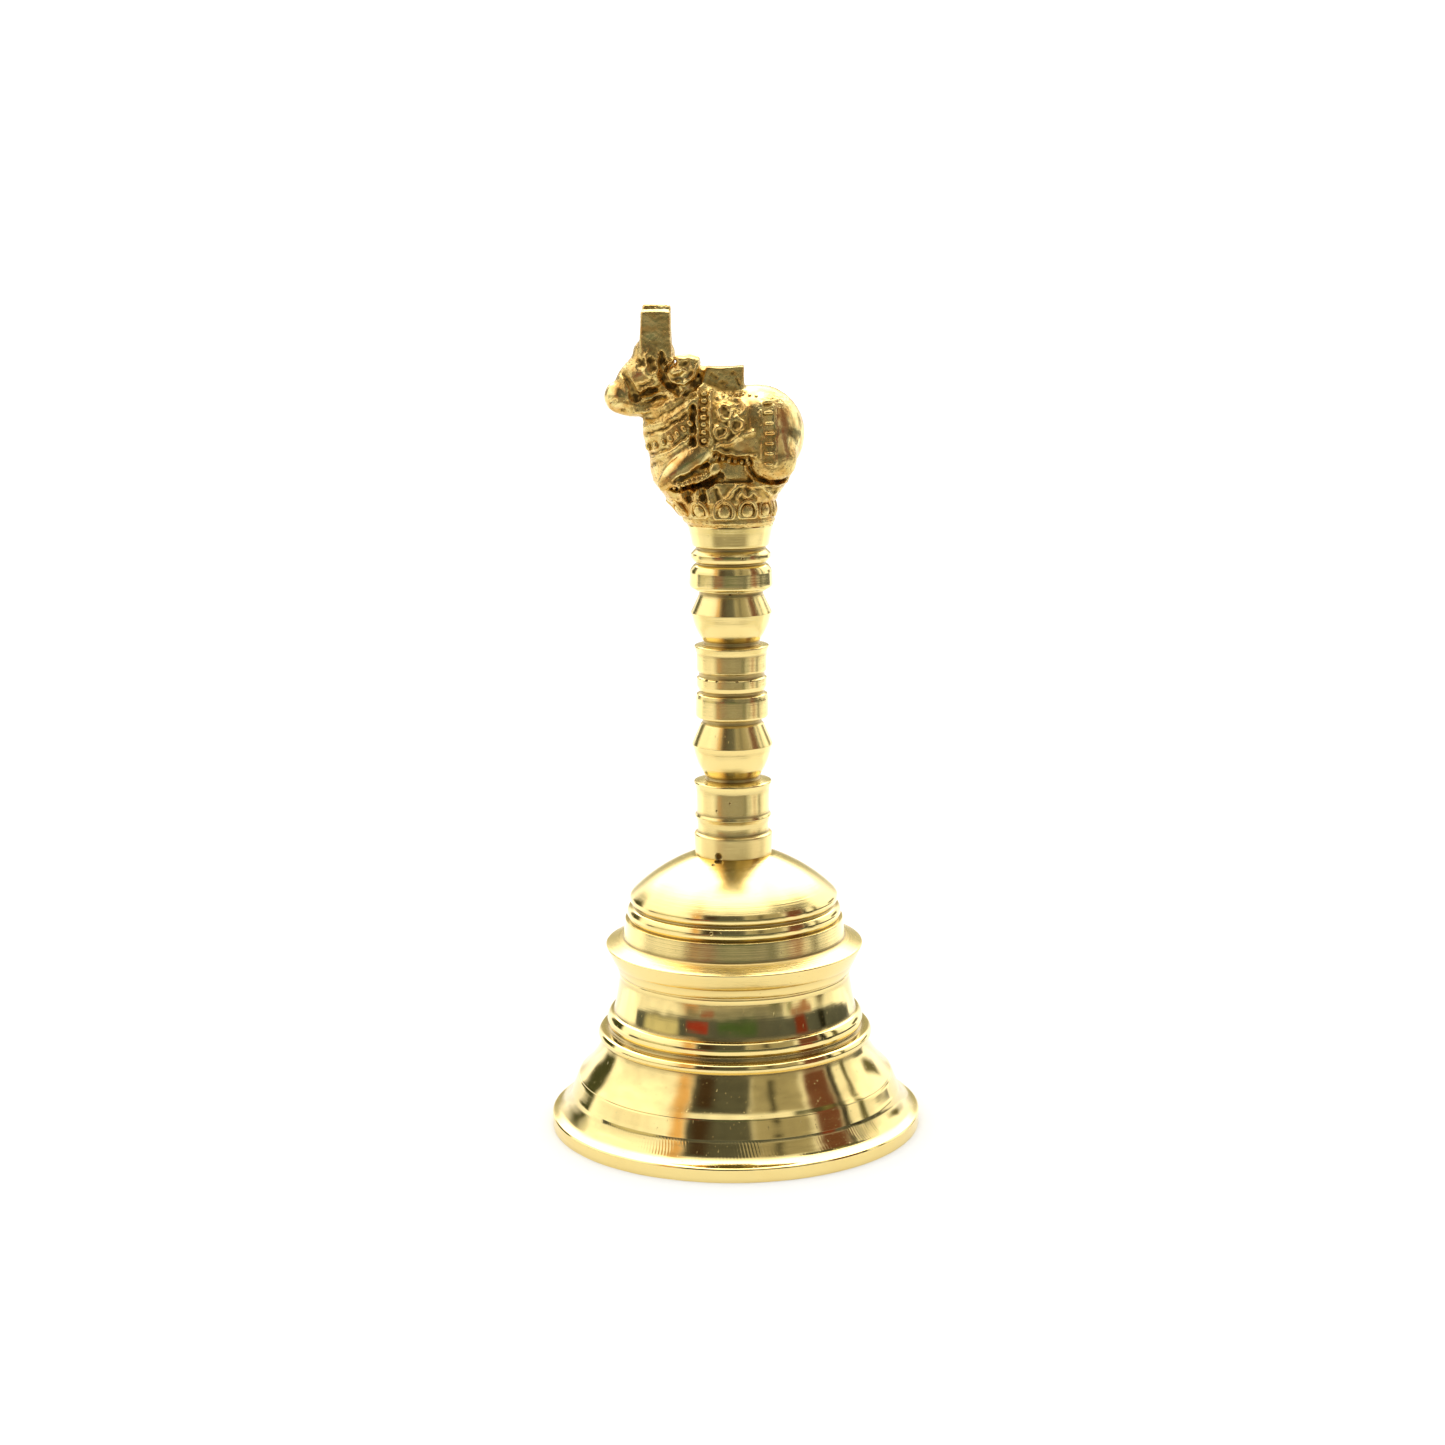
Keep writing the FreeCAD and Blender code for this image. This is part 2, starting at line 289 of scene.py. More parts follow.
def hollowness(path, reach=0.5, deep=0.12):
    # 0 on open metal and 1 in a corner that the buffing wheel could not reach; the materials paint shade
    # into these corners
    wide = softenLoop(path, reach)
    ahead = np.roll(path, -2, 0) - np.roll(path, 2, 0)
    outward = np.column_stack((ahead[:, 1], -ahead[:, 0]))
    outward /= np.maximum(np.hypot(*outward.T), 1e-9)[:, None]
    return np.clip(((wide - path) * outward).sum(1) / deep, 0, 1)


def ringMesh(name, points):
    # closed both ways: rings by segments by xyz
    rings, segments = points.shape[:2]
    ring, spoke = np.arange(rings)[:, None], np.arange(segments)[None, :]
    nextRing, nextSpoke = (ring + 1) % rings, (spoke + 1) % segments
    corners = [ring * segments + spoke, ring * segments + nextSpoke,
               nextRing * segments + nextSpoke, nextRing * segments + spoke]
    faces = np.stack([np.broadcast_to(c, (rings, segments)) for c in corners], -1).reshape(-1, 4)
    return newMesh(name, points.reshape(-1, 3), faces)


def noiseAt(points, waves):
    # waves are pairs: share, and waves in a mm
    return np.array([sum(share * noise.noise(Vector(p) * often) for share, often in waves) for p in points])


buffingWaves = ((1.0, 0.16), (0.35, 0.5))


def latheMesh(name, outline, segments, edge=0.07, longest=0.9, sharpest=9, wobble=0.0, zones=None):
    # the outline runs anticlockwise in (r, z), so that faces point outwards
    path = softenLoop(walkOutline(outline), edge)
    hollow = hollowness(path)
    loop, picks = thinLoop(path, longest, sharpest)
    angles = np.linspace(0, 2 * math.pi, segments, endpoint=False)
    points = np.empty((len(loop), segments, 3))
    points[:, :, 0] = loop[:, :1] * np.cos(angles)
    points[:, :, 1] = loop[:, :1] * np.sin(angles)
    points[:, :, 2] = loop[:, 1:]
    if wobble:
        # buffing by hand leaves the metal very slightly uneven, and the reflections wavy
        waves = noiseAt(points.reshape(-1, 3), buffingWaves)
        scale = 1 + wobble * waves.reshape(points.shape[:2]) / np.maximum(loop[:, :1], 1)
        points[:, :, :2] *= scale[:, :, None]
    mesh = ringMesh(name, points)
    # how deep in a corner each ring lies, which the materials turn into painted shade
    addValues(mesh, "recess", np.repeat(hollow[picks], segments))
    for label, bands in (zones or {}).items():
        values = np.zeros(len(loop))
        for low, high, amount in bands:
            values[(loop[:, 1] > low) & (loop[:, 1] < high)] = amount
        addValues(mesh, label, np.repeat(values, segments))
    return mesh


def sweepMesh(name, path, radius, sides=16, closed=False):
    # a wire of round section along points in one plane
    path = np.asarray(path, float)
    ahead = np.roll(path, -1, 0) - np.roll(path, 1, 0) if closed else np.gradient(path, axis=0)
    ahead /= np.linalg.norm(ahead, axis=1)[:, None]
    spread = np.ptp(path, axis=0)
    across = np.eye(3)[int(np.argmin(spread))]
    beside = np.cross(ahead, across)
    angles = np.linspace(0, 2 * math.pi, sides, endpoint=False)
    width = np.broadcast_to(np.asarray(radius, float), (len(path),))[:, None, None]
    around = np.cos(angles)[None, :, None] * beside[:, None] + np.sin(angles)[None, :, None] * across
    points = path[:, None] + width * around
    if closed:
        return ringMesh(name, points)
    count = len(path)
    faces = []
    for i in range(count - 1):
        for j in range(sides):
            k = (j + 1) % sides
            faces.append([i * sides + j, i * sides + k, (i + 1) * sides + k, (i + 1) * sides + j])
    faces.append(list(range(sides))[::-1])
    faces.append([(count - 1) * sides + j for j in range(sides)])
    return newMesh(name, points.reshape(-1, 3), faces)


def newMesh(name, points, faces):
    # places in mm; faces are one array of quads, or a list of polygons
    mesh = bpy.data.meshes.new(name)
    if isinstance(faces, list):
        mesh.from_pydata([tuple(p * mm) for p in np.asarray(points, float)], [], faces)
    else:
        mesh.vertices.add(len(points))
        mesh.vertices.foreach_set("co", (np.asarray(points, float) * mm).ravel())
        mesh.loops.add(faces.size)
        mesh.loops.foreach_set("vertex_index", faces.ravel().astype(np.int32))
        mesh.polygons.add(len(faces))
        mesh.polygons.foreach_set("loop_start", np.arange(0, faces.size, faces.shape[1], dtype=np.int32))
    mesh.update(calc_edges=True)
    mesh.validate()
    mesh.polygons.foreach_set("use_smooth", np.ones(len(mesh.polygons), bool))
    return mesh


def joinMeshes(name, *meshes):
    # separate closed shells kept in one piece
    whole = bmesh.new()
    for mesh in meshes:
        whole.from_mesh(mesh)
    joined = bpy.data.meshes.new(name)
    whole.to_mesh(joined)
    whole.free()
    return joined


def faceOutwards(mesh):
    shape = bmesh.new()
    shape.from_mesh(mesh)
    bmesh.ops.recalc_face_normals(shape, faces=shape.faces)
    shape.to_mesh(mesh)
    shape.free()
    return mesh


def addValues(mesh, label, values):
    layer = mesh.attributes.new(label, "FLOAT", "POINT")
    layer.data.foreach_set("value", np.asarray(values, np.float32))


def addPiece(mesh, material, body, slot, *stands):
    piece = addObject(mesh.name, mesh)
    mesh.materials.clear()
    mesh.materials.append(material)
    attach(piece, body)
    if stands:
        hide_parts(*stands)
    print("made", mesh.name, len(mesh.polygons), "faces")
    return piece


# yellow brass, about 65 copper to 35 zinc; lengths in mm
polishedBrass = {
    "colour": "#F4DC94", "warm": "#E9BE6A", "tarnishAndShade": "#6E5020", "roughness": 0.055,
    "toolPitch": 0.30, "ringDrift": 0.9, "ringLeast": 0.10, "haze": 16.0, "chatterCount": 165,
    "chatterSlant": 2.2,
    "chatterDepth": 0.35, "patch": 7, "scratch": 0.9, "scratchSize": (0.35, 0.35, 7),
    "scratchTurn": (0.5, 0.9, 0.3),
    # cornerDark: how strongly the painted shade and dried polish brown the corners
    "pitDepth": 12.0, "pitRagged": 0.4, "relief": 0.026, "cornerDark": 0.55, "markRough": 0.17,
    "darkRough": 0.30,
    # small casting pits: place on the front of the work, and radius
    "pits": [
        ((-2.9, -7.0, 55.2), 0.75), ((-3.0, -7.3, 54.4), 0.70), ((-3.9, -8.1, 53.7), 0.40),
        ((-4.4, -20.4, 43.6), 0.32), ((1.4, -13.6, 50.6), 0.30), ((-0.2, -6.4, 106.4), 0.45),
        ((1.3, -6.5, 106.7), 0.35), ((2.2, -7.2, 113.2), 0.25), ((-4.9, -4.6, 89.5), 0.30),
        ((-2.9, -6.1, 89.6), 0.25), ((1.0, -6.7, 89.6), 0.30), ((3.6, -5.7, 89.5), 0.25),
        ((-3.2, -6.4, 64.2), 0.16), ((-0.6, -7.1, 65.8), 0.14),
    ],
}


def turnedBrassMaterial():
    # turned and buffed: mirror bright, with the tool's fine rings, and dark polish and painted shade in the
    # corners
    look = polishedBrass
    material, add = newMaterial("turned and buffed yellow brass")
    place = add("TexCoord", output="Object")
    x, y, z = [add("SeparateXYZ", place, output=i) for i in range(3)]
    flat = add("CombineXYZ", x, y, 0.0)
    radius = add("VectorMath", flat, operation="LENGTH", output="Value")
    angle = add("Math", y, x, operation="ARCTAN2")
    layers = ("marks", "chatter", "recess")
    marks, chatter, recess = [add("Attribute", attribute_name=label, output="Fac") for label in layers]
    # rings of the turning tool, the same all the way round but for a slow drift
    pitch = 1 / (look["toolPitch"] * mm)
    ringPlace = add("CombineXYZ", add("Math", radius, pitch, operation="MULTIPLY"),
                    add("Math", z, pitch, operation="MULTIPLY"),
                    add("Math", angle, look["ringDrift"], operation="MULTIPLY"))
    rings = add("TexNoise", ringPlace, sockets={"Scale": 1.0, "Detail": 3.0, "Roughness": 0.6})
    ringAmount = add("Math", marks, look["ringLeast"], operation="ADD")
    ringHeight = add("Math", rings, ringAmount, operation="MULTIPLY")
    # ticks where the tool chattered
    slant = add("Math", z, look["chatterSlant"] / mm, operation="MULTIPLY")
    teeth = add("Math", angle, 2.0 * look["chatterCount"], slant, operation="MULTIPLY_ADD")
    ticks = add("Math", teeth, operation="SINE")
    patches = add("TexNoise", place, sockets={"Scale": 1 / (look["patch"] * mm), "Detail": 2.0})
    patch = add("MapRange", patches, 0.42, 0.62, **smoothStep)
    tickAmount = add("Math", chatter, patch, operation="MULTIPLY")
    tickHeight = add("Math", ticks, tickAmount, operation="MULTIPLY")
    # hairline scratches from handling
    scratchScale = tuple(1 / (v * mm) for v in look["scratchSize"])
    scratchPlace = add("Mapping", place, sockets={"Scale": scratchScale, "Rotation": look["scratchTurn"]})
    scratches = add("TexNoise", scratchPlace, sockets={"Scale": 1.0, "Detail": 1.0})
    scratch = add("MapRange", scratches, 0.73, 0.80, 0.0, -look["scratch"])
    # pits: dark, rough and sunk
    pitted = 0.0
    for spot, size in look["pits"]:
        away = add("VectorMath", place, tuple(v * mm for v in spot), operation="DISTANCE", output="Value")
        ragged = add("Math", patches, look["pitRagged"] * mm, away, operation="MULTIPLY_ADD")
        hole = add("MapRange", ragged, (size * 0.6 + 0.2) * mm, (size + 0.3) * mm, 1.0, 0.0)
        pitted = add("Math", pitted, hole, operation="MAXIMUM")
    height = add("Math", tickHeight, look["chatterDepth"], ringHeight, operation="MULTIPLY_ADD")
    height = add("Math", height, scratch, operation="ADD")
    height = add("Math", pitted, -look["pitDepth"], height, operation="MULTIPLY_ADD")
    bump = add("Bump", sockets={"Height": height, "Strength": 1.0, "Distance": look["relief"] * mm})
    # colour: pale yellow, warmer in slow patches, brown in the corners where polish dried and where shade
    # is painted
    haze = add("TexNoise", place, sockets={"Scale": 1 / (look["haze"] * mm), "Detail": 4.0})
    warmth = add("MapRange", haze, 0.45, 0.75, 0.0, 0.25)
    metal = add("Mix", warmth, **colourMix, sockets={6: hexColour(look["colour"]),
                                                     7: hexColour(look["warm"])})
    # painted shade in the corners, with the polish that dried there; the pits are dark too
    polishAndShade = add("Math", recess, look["cornerDark"], operation="MULTIPLY")
    dark = add("Math", polishAndShade, pitted, operation="MAXIMUM")
    colour = add("Mix", dark, **colourMix, sockets={6: metal, 7: hexColour(look["tarnishAndShade"])})
    dull = add("MapRange", haze, 0.3, 0.7, look["roughness"], look["roughness"] + 0.05)
    rough = add("Math", marks, look["markRough"], dull, operation="MULTIPLY_ADD")
    rough = add("Math", dark, look["darkRough"], rough, operation="MULTIPLY_ADD")
    finishMetal(add, colour, rough, bump)
    return material


castBrass = {
    "colour": "#F4DC94", "warm": "#E0A858", "dull": "#C29A48", "tarnishAndShade": "#3A2A12", "roughness": 0.21,
    "grain": 0.42, "pit": 0.9, "patch": 2.4, "pitDepth": 0.8, "leastHeight": 0.03, "relief": 0.13,
    "pitDark": 0.7, "sandRough": 0.12, "darkRough": 0.30,
}


def castBrassMaterial():
    # lost-wax casting, buffed on its high places: bright there, sandy and brown in the hollows, with
    # tarnish and painted shade there
    look = castBrass
    material, add = newMaterial("lost-wax cast brass, part buffed")
    place = add("TexCoord", output="Object")
    recess, skin = [add("Attribute", attribute_name=label, output="Fac") for label in ("recess", "grain")]
    sand = add("TexNoise", place, sockets={"Scale": 1 / (look["grain"] * mm), "Detail": 3.0,
                                           "Roughness": 0.65})
    blobs = add("TexVoronoi", place, sockets={"Scale": 1 / (look["pit"] * mm)}, output="Distance")
    pit = add("MapRange", blobs, 0.10, 0.28, -1.0, 0.0, **smoothStep)
    lumps = add("Math", pit, look["pitDepth"], sand, operation="MULTIPLY_ADD")
    amount = add("Math", skin, look["leastHeight"], operation="ADD")
    height = add("Math", lumps, amount, operation="MULTIPLY")
    bump = add("Bump", sockets={"Height": height, "Strength": 1.0, "Distance": look["relief"] * mm})
    patches = add("TexNoise", place, sockets={"Scale": 1 / (look["patch"] * mm), "Detail": 3.0})
    warmth = add("MapRange", patches, 0.40, 0.64, 0.0, 0.75)
    metal = add("Mix", warmth, **colourMix, sockets={6: hexColour(look["colour"]),
                                                     7: hexColour(look["warm"])})
    unbuffed = add("MapRange", skin, 0.15, 0.8, 0.0, 0.75)
    metal = add("Mix", unbuffed, **colourMix, sockets={6: metal, 7: hexColour(look["dull"])})
    pitAmount = add("Math", skin, -look["pitDark"], operation="MULTIPLY")
    pitDark = add("Math", pit, pitAmount, operation="MULTIPLY")
    # the hollows: tarnish and painted shade
    hollow = add("MapRange", recess, 0.35, 1.0, 0.0, 0.80, **smoothStep)
    dark = add("Math", hollow, pitDark, operation="MAXIMUM")
    colour = add("Mix", dark, **colourMix, sockets={6: metal, 7: hexColour(look["tarnishAndShade"])})
    rough = add("Math", skin, look["sandRough"], look["roughness"], operation="MULTIPLY_ADD")
    rough = add("Math", dark, look["darkRough"], rough, operation="MULTIPLY_ADD")
    finishMetal(add, colour, rough, bump)
    return material


clapperBrass = {
    "colour": "#C9A557", "tarnishAndShade": "#5A431C", "roughness": 0.24, "stain": 3.0, "filing": (4, 4, 0.3),
    "relief": 0.02, "darkRough": 0.22,
}


def clapperBrassMaterial():
    # brass left as it came off the file: duller than the bell, with brown stains from handling and painted
    # shade in its corners
    look = clapperBrass
    material, add = newMaterial("filed brass, tarnished")
    place = add("TexCoord", output="Object")
    recess = add("Attribute", attribute_name="recess", output="Fac")
    stain = add("TexNoise", place, sockets={"Scale": 1 / (look["stain"] * mm), "Detail": 5.0})
    filed = add("Mapping", place, sockets={"Scale": tuple(1 / (v * mm) for v in look["filing"])})
    lines = add("TexNoise", filed, sockets={"Scale": 1.0, "Detail": 3.0})
    bump = add("Bump", sockets={"Height": lines, "Strength": 1.0, "Distance": look["relief"] * mm})
    spread = add("MapRange", stain, 0.40, 0.72, 0.0, 0.75, **smoothStep)
    # the stains, and painted shade in the corners
    dark = add("Math", spread, recess, operation="MAXIMUM")
    colour = add("Mix", dark, **colourMix, sockets={6: hexColour(look["colour"]),
                                                    7: hexColour(look["tarnishAndShade"])})
    rough = add("Math", dark, look["darkRough"], look["roughness"], operation="MULTIPLY_ADD")
    finishMetal(add, colour, rough, bump)
    return material


platedSteel = {
    "colour": "#C4C8CB", "stain": "#8C8468", "roughness": 0.27, "crystal": 0.8, "age": 2.2, "grain": 0.25,
    "relief": 0.008, "frostRough": 0.08, "ageRough": 0.15,
}


def platedSteelMaterial():
    # zinc-plated steel: grey and faintly frosted, with dull spots where the plating has aged
    look = platedSteel
    material, add = newMaterial("zinc-plated steel")
    place = add("TexCoord", output="Object")
    frost = add("TexVoronoi", place, sockets={"Scale": 1 / (look["crystal"] * mm)}, output="Color")
    tone = add("SeparateXYZ", frost)
    age = add("TexNoise", place, sockets={"Scale": 1 / (look["age"] * mm), "Detail": 4.0})
    aged = add("MapRange", age, 0.48, 0.72, 0.0, 0.7, **smoothStep)
    colour = add("Mix", aged, **colourMix, sockets={6: hexColour(look["colour"]),
                                                    7: hexColour(look["stain"])})
    rough = add("Math", tone, look["frostRough"], look["roughness"], operation="MULTIPLY_ADD")
    rough = add("Math", aged, look["ageRough"], rough, operation="MULTIPLY_ADD")
    grain = add("TexNoise", place, sockets={"Scale": 1 / (look["grain"] * mm), "Detail": 2.0})
    bump = add("Bump", sockets={"Height": grain, "Strength": 1.0, "Distance": look["relief"] * mm})
    finishMetal(add, colour, rough, bump)
    return material


bell = {
    "segments": 240, "edge": 0.09, "wobble": 0.05,
    # z from, z to, and how deep the tool rings are
    "marks": [(46.9, 54.4, 0.65), (41.85, 46.8, 0.25), (37.9, 41.8, 0.6), (36.4, 37.95, 0.9),
              (33.3, 36.4, 0.35)],
    "chatter": [(31.4, 33.4, 1.0), (3.2, 6.4, 0.8)],
}


def bellOutline():
    return [
        (33.8, 0), (rimRadius, 0), (rimRadius, 2.5), (36.2, 2.75),
        (33.7, 4.35, 32.4, 6.9), (32.15, 7.4),  # lowest flare up to the small step
        (31.2, 9.9), (31.0, 10.05), (31.02, 10.25),  # fine line
        (27.7, 13.95, 26.2, 17.35), (26.1, 17.5),  # middle flare
        (27.05, 18.55, 26.0, 19.6), (25.1, 19.7), (24.9, 20.4),  # lower ring and the groove over it
        (25.25, 21.8, 24.4, 23.15), (23.95, 23.3),  # upper ring
        (23.15, 27.0, 22.75, 30.2), (22.9, 31.0),  # waist
        (22.78, 31.12), (22.98, 31.25), (22.88, 31.4), (23.05, 31.55),  # two fine lines
        (23.75, 33.3), (23.9, 33.45), (25.3, 36.45), (25.15, 36.62),  # flange
        (22.05, 37.8), (21.8, 38.0), (21.4, 41.75), (20.5, 41.85),  # drum
        (21.05, 43.08, 20.4, 44.3), (19.95, 44.5), (19.9, 44.72),  # lower crown ring
        (20.45, 45.8, 20.0, 46.8), (19.85, 46.95),  # upper crown ring
        (14.2, 51.35, 8.2, 54.3), (7.6, crownTop),  # crown cone
        (4.0, crownTop), (4.0, crownTop - 1.2), (2.2, crownTop - 1.2), (2.2, 51.4), (8.0, 51.4),
        (14.6, 49.1, 18.2, 44.6), (20.2, 29.8), (22.7, 20.2, 28.2, 10.2), (33.2, 2.2),
    ]


grip = {
    "segments": 160, "edge": 0.06, "longest": 0.6, "wobble": 0.05,
    "marks": [(58.95, 106.9, 0.7), (54.5, 58.95, 1.2)],
}


def gripOutline():
    return [
        (2.05, crownTop - 1.2), (3.98, crownTop - 1.2), (3.98, crownTop), (7.45, crownTop),
        (7.62, 58.45), (7.5, 58.7), (6.99, 58.95),  # foot collar
        (6.96, 60.6, 7.49, 62.15), (7.4, 62.4), (7.1, 62.75),  # flared ring
        (7.15, 67.3), (7.2, 67.6), (7.59, 68.75), (7.45, 69.0), (5.3, 69.45), (5.17, 69.9),
        (6.75, 72.6, 7.49, 75.3), (7.84, 76.3), (6.1, 80.3), (5.75, 80.7), (5.75, 81.3),
        (6.95, 81.75), (7.11, 82.1), (7.04, 85.4), (6.86, 86.2), (6.26, 86.5), (6.26, 86.8),
        (6.49, 87.15), (6.78, 87.9), (6.78, 89.4), (6.35, 89.7), (6.35, 90.4),
        (6.77, 90.9), (6.8, 94.2), (6.95, 94.5), (7.22, 95.5), (7.1, 95.7), (5.5, 96.0), (5.41, 96.6),
        (6.75, 98.8, 7.52, 101.05), (7.84, 102.1), (6.2, 105.6), (6.12, 106.2), (6.93, 106.5),
        # two blind holes
        (6.93, gripTop), (2.55, gripTop), (2.55, 96.5), (0.1, 96.5), (0.1, 67.5), (2.05, 67.5),
    ]


collar = {"segments": 160, "edge": 0.06, "longest": 0.6, "marks": [(100, 120, 0.55)]}


def collarOutline():
    return [
        (2.55, gripTop), (7.7, gripTop), (7.95, 107.2), (8.04, 107.5), (7.91, 110.0), (7.72, 110.55),
        (7.24, 111.2), (6.66, 111.6), (6.7, 111.85), (7.29, 112.1), (7.69, 112.8), (7.62, 113.5),
        (6.75, 114.4), (6.72, 114.8), (7.35, 115.1), (7.42, 115.3), (7.9, 117.7), (8.25, 118.95),
        (8.1, 119.2), (7.6, 119.4), (2.55, 119.4),
    ]


# the finial is one lost-wax casting: a field of blended masses, with relief raised and sunk on its flanks
bull = {
    "cell": 0.235, "low": (-25.0, -11.2, 118.4), "high": (15.6, 11.2, 161.4), "floor": 118.9,
    "flank": (0.8, 2.0), "smoothRounds": 2, "hollowRounds": 10, "hollowDeep": 0.14,
    "buffed": (1.5, 1.3), "sand": (0.45, 0.55), "grain": 0.12, "leastGrain": 0.12,
    "bumps": ((0.8, 0.55), (1.0, 1.6), (0.6, 3.4)),
    "ledges": ((119.9, 0.35), (123.9, 0.25)), "ledgeHalf": 0.5,
    # how strokes waver in x and in z, and swell: height, then turns along x and along z
    "waverX": ((0.13, 1.3, 2.1), (0.06, -3.1, 5.3)), "waverZ": ((0.12, 2.4, -1.1), (0.06, 4.7, 2.9)),
    "swell": (((0.3, 1.9, 0.8),), ((1.0, -0.6, 2.3),)), "headFrom": 144.0, "headShare": 0.72,
    "strokeReach": 1.6,
    "strokeRound": 1.5,
}

# a bowl that starts round on the collar and reaches further out under the chest
plinth = {
    "levels": (119.0, 121.2, 123.3, 125.5, 127.5), "left": (-8.1, -9.7, -11.4, -13.2, -14.6),
    "right": (8.2, 8.3, 8.2, 9.8, 11.2), "halfY": (8.1, 8.7, 8.9, 9.0, 9.0), "top": 127.6, "join": 0.6,
}

# a block with a dished top and a sharp rear corner
hump = {
    "low": (-6.2, -3.0, 140.0), "high": (2.8, 3.0, 152.0), "corner": 0.5, "dishLow": 148.9, "dishAt": -1.4,
    "dishBend": 0.014, "join": 0.4,
}

# a pair of stub horns cut off flat, joined but for a notch between them; the far one leans back a little
horns = {
    "low": (-16.9, -1.0, 146.0), "high": (-10.7, 3.2, 162.0), "corner": 0.6, "top": 160.6, "join": 0.5,
    "lean": 0.012, "leanFrom": 148.0, "right": -10.85, "taper": (0.055, 0.035), "taperFrom": 152.0,
    "notchHalf": 0.55, "notchSide": 0.7, "notchFrom": 158.0, "notchRise": 0.35,
    "cutY": (0.30, 0.8), "cutX": (0.12, -12.2),
}

# place, half sizes, tilt about Y in degrees, softness of the join; a place off the middle plane is a pair
bullMasses = [
    ((5.2, 0, 136.3), (9.0, 8.6, 9.2), 0, 0.1),  # rump
    ((-3.0, 0, 135.9), (9.4, 8.0, 9.7), 0, 2.5),  # barrel
    ((-9.2, 0, 132.4), (6.1, 7.3, 8.8), -4, 2.5),  # chest
    ((-8.8, 0, 140.4), (6.6, 5.8, 8.0), 26, 2.5),  # neck
    ((-12.2, 0, 137.2), (4.1, 4.2, 4.6), 0, 2.0),  # dewlap
    ((-14.6, 0, 148.0), (4.5, 4.4, 4.2), -30, 1.2),  # skull
    ((-14.2, 0, 151.4), (4.0, 3.7, 3.5), 0, 0.8),  # poll and brow
    ((-17.6, 0, 146.8), (5.2, 3.6, 3.4), -50, 1.2),  # nose
    ((-20.6, 0, 143.4), (3.1, 3.5, 3.2), -40, 0.5),  # muzzle
    ((-16.4, 0, 142.2), (4.6, 3.4, 2.4), -14, 1.0),  # jaw
    ((-8.7, 3.9, 148.3), (3.8, 1.7, 2.5), -14, 0.25),  # ears
    ((-1.4, 0, 129.2), (13.3, 8.2, 4.2), 0, 1.5),  # skirt under the belly
    ((-8.3, 6.7, 130.7), (6.6, 2.3, 2.7), -40, 0.4),  # upper forelegs
    ((-7.3, 7.5, 128.0), (4.4, 1.5, 1.1), -16, 0.25),  # lower forelegs
    ((-2.9, 7.6, 130.2), (1.6, 1.4, 1.3), -50, 0.25),  # fore hooves
    ((7.7, 5.0, 132.0), (4.9, 4.0, 5.0), 0, 1.3),  # haunches
]

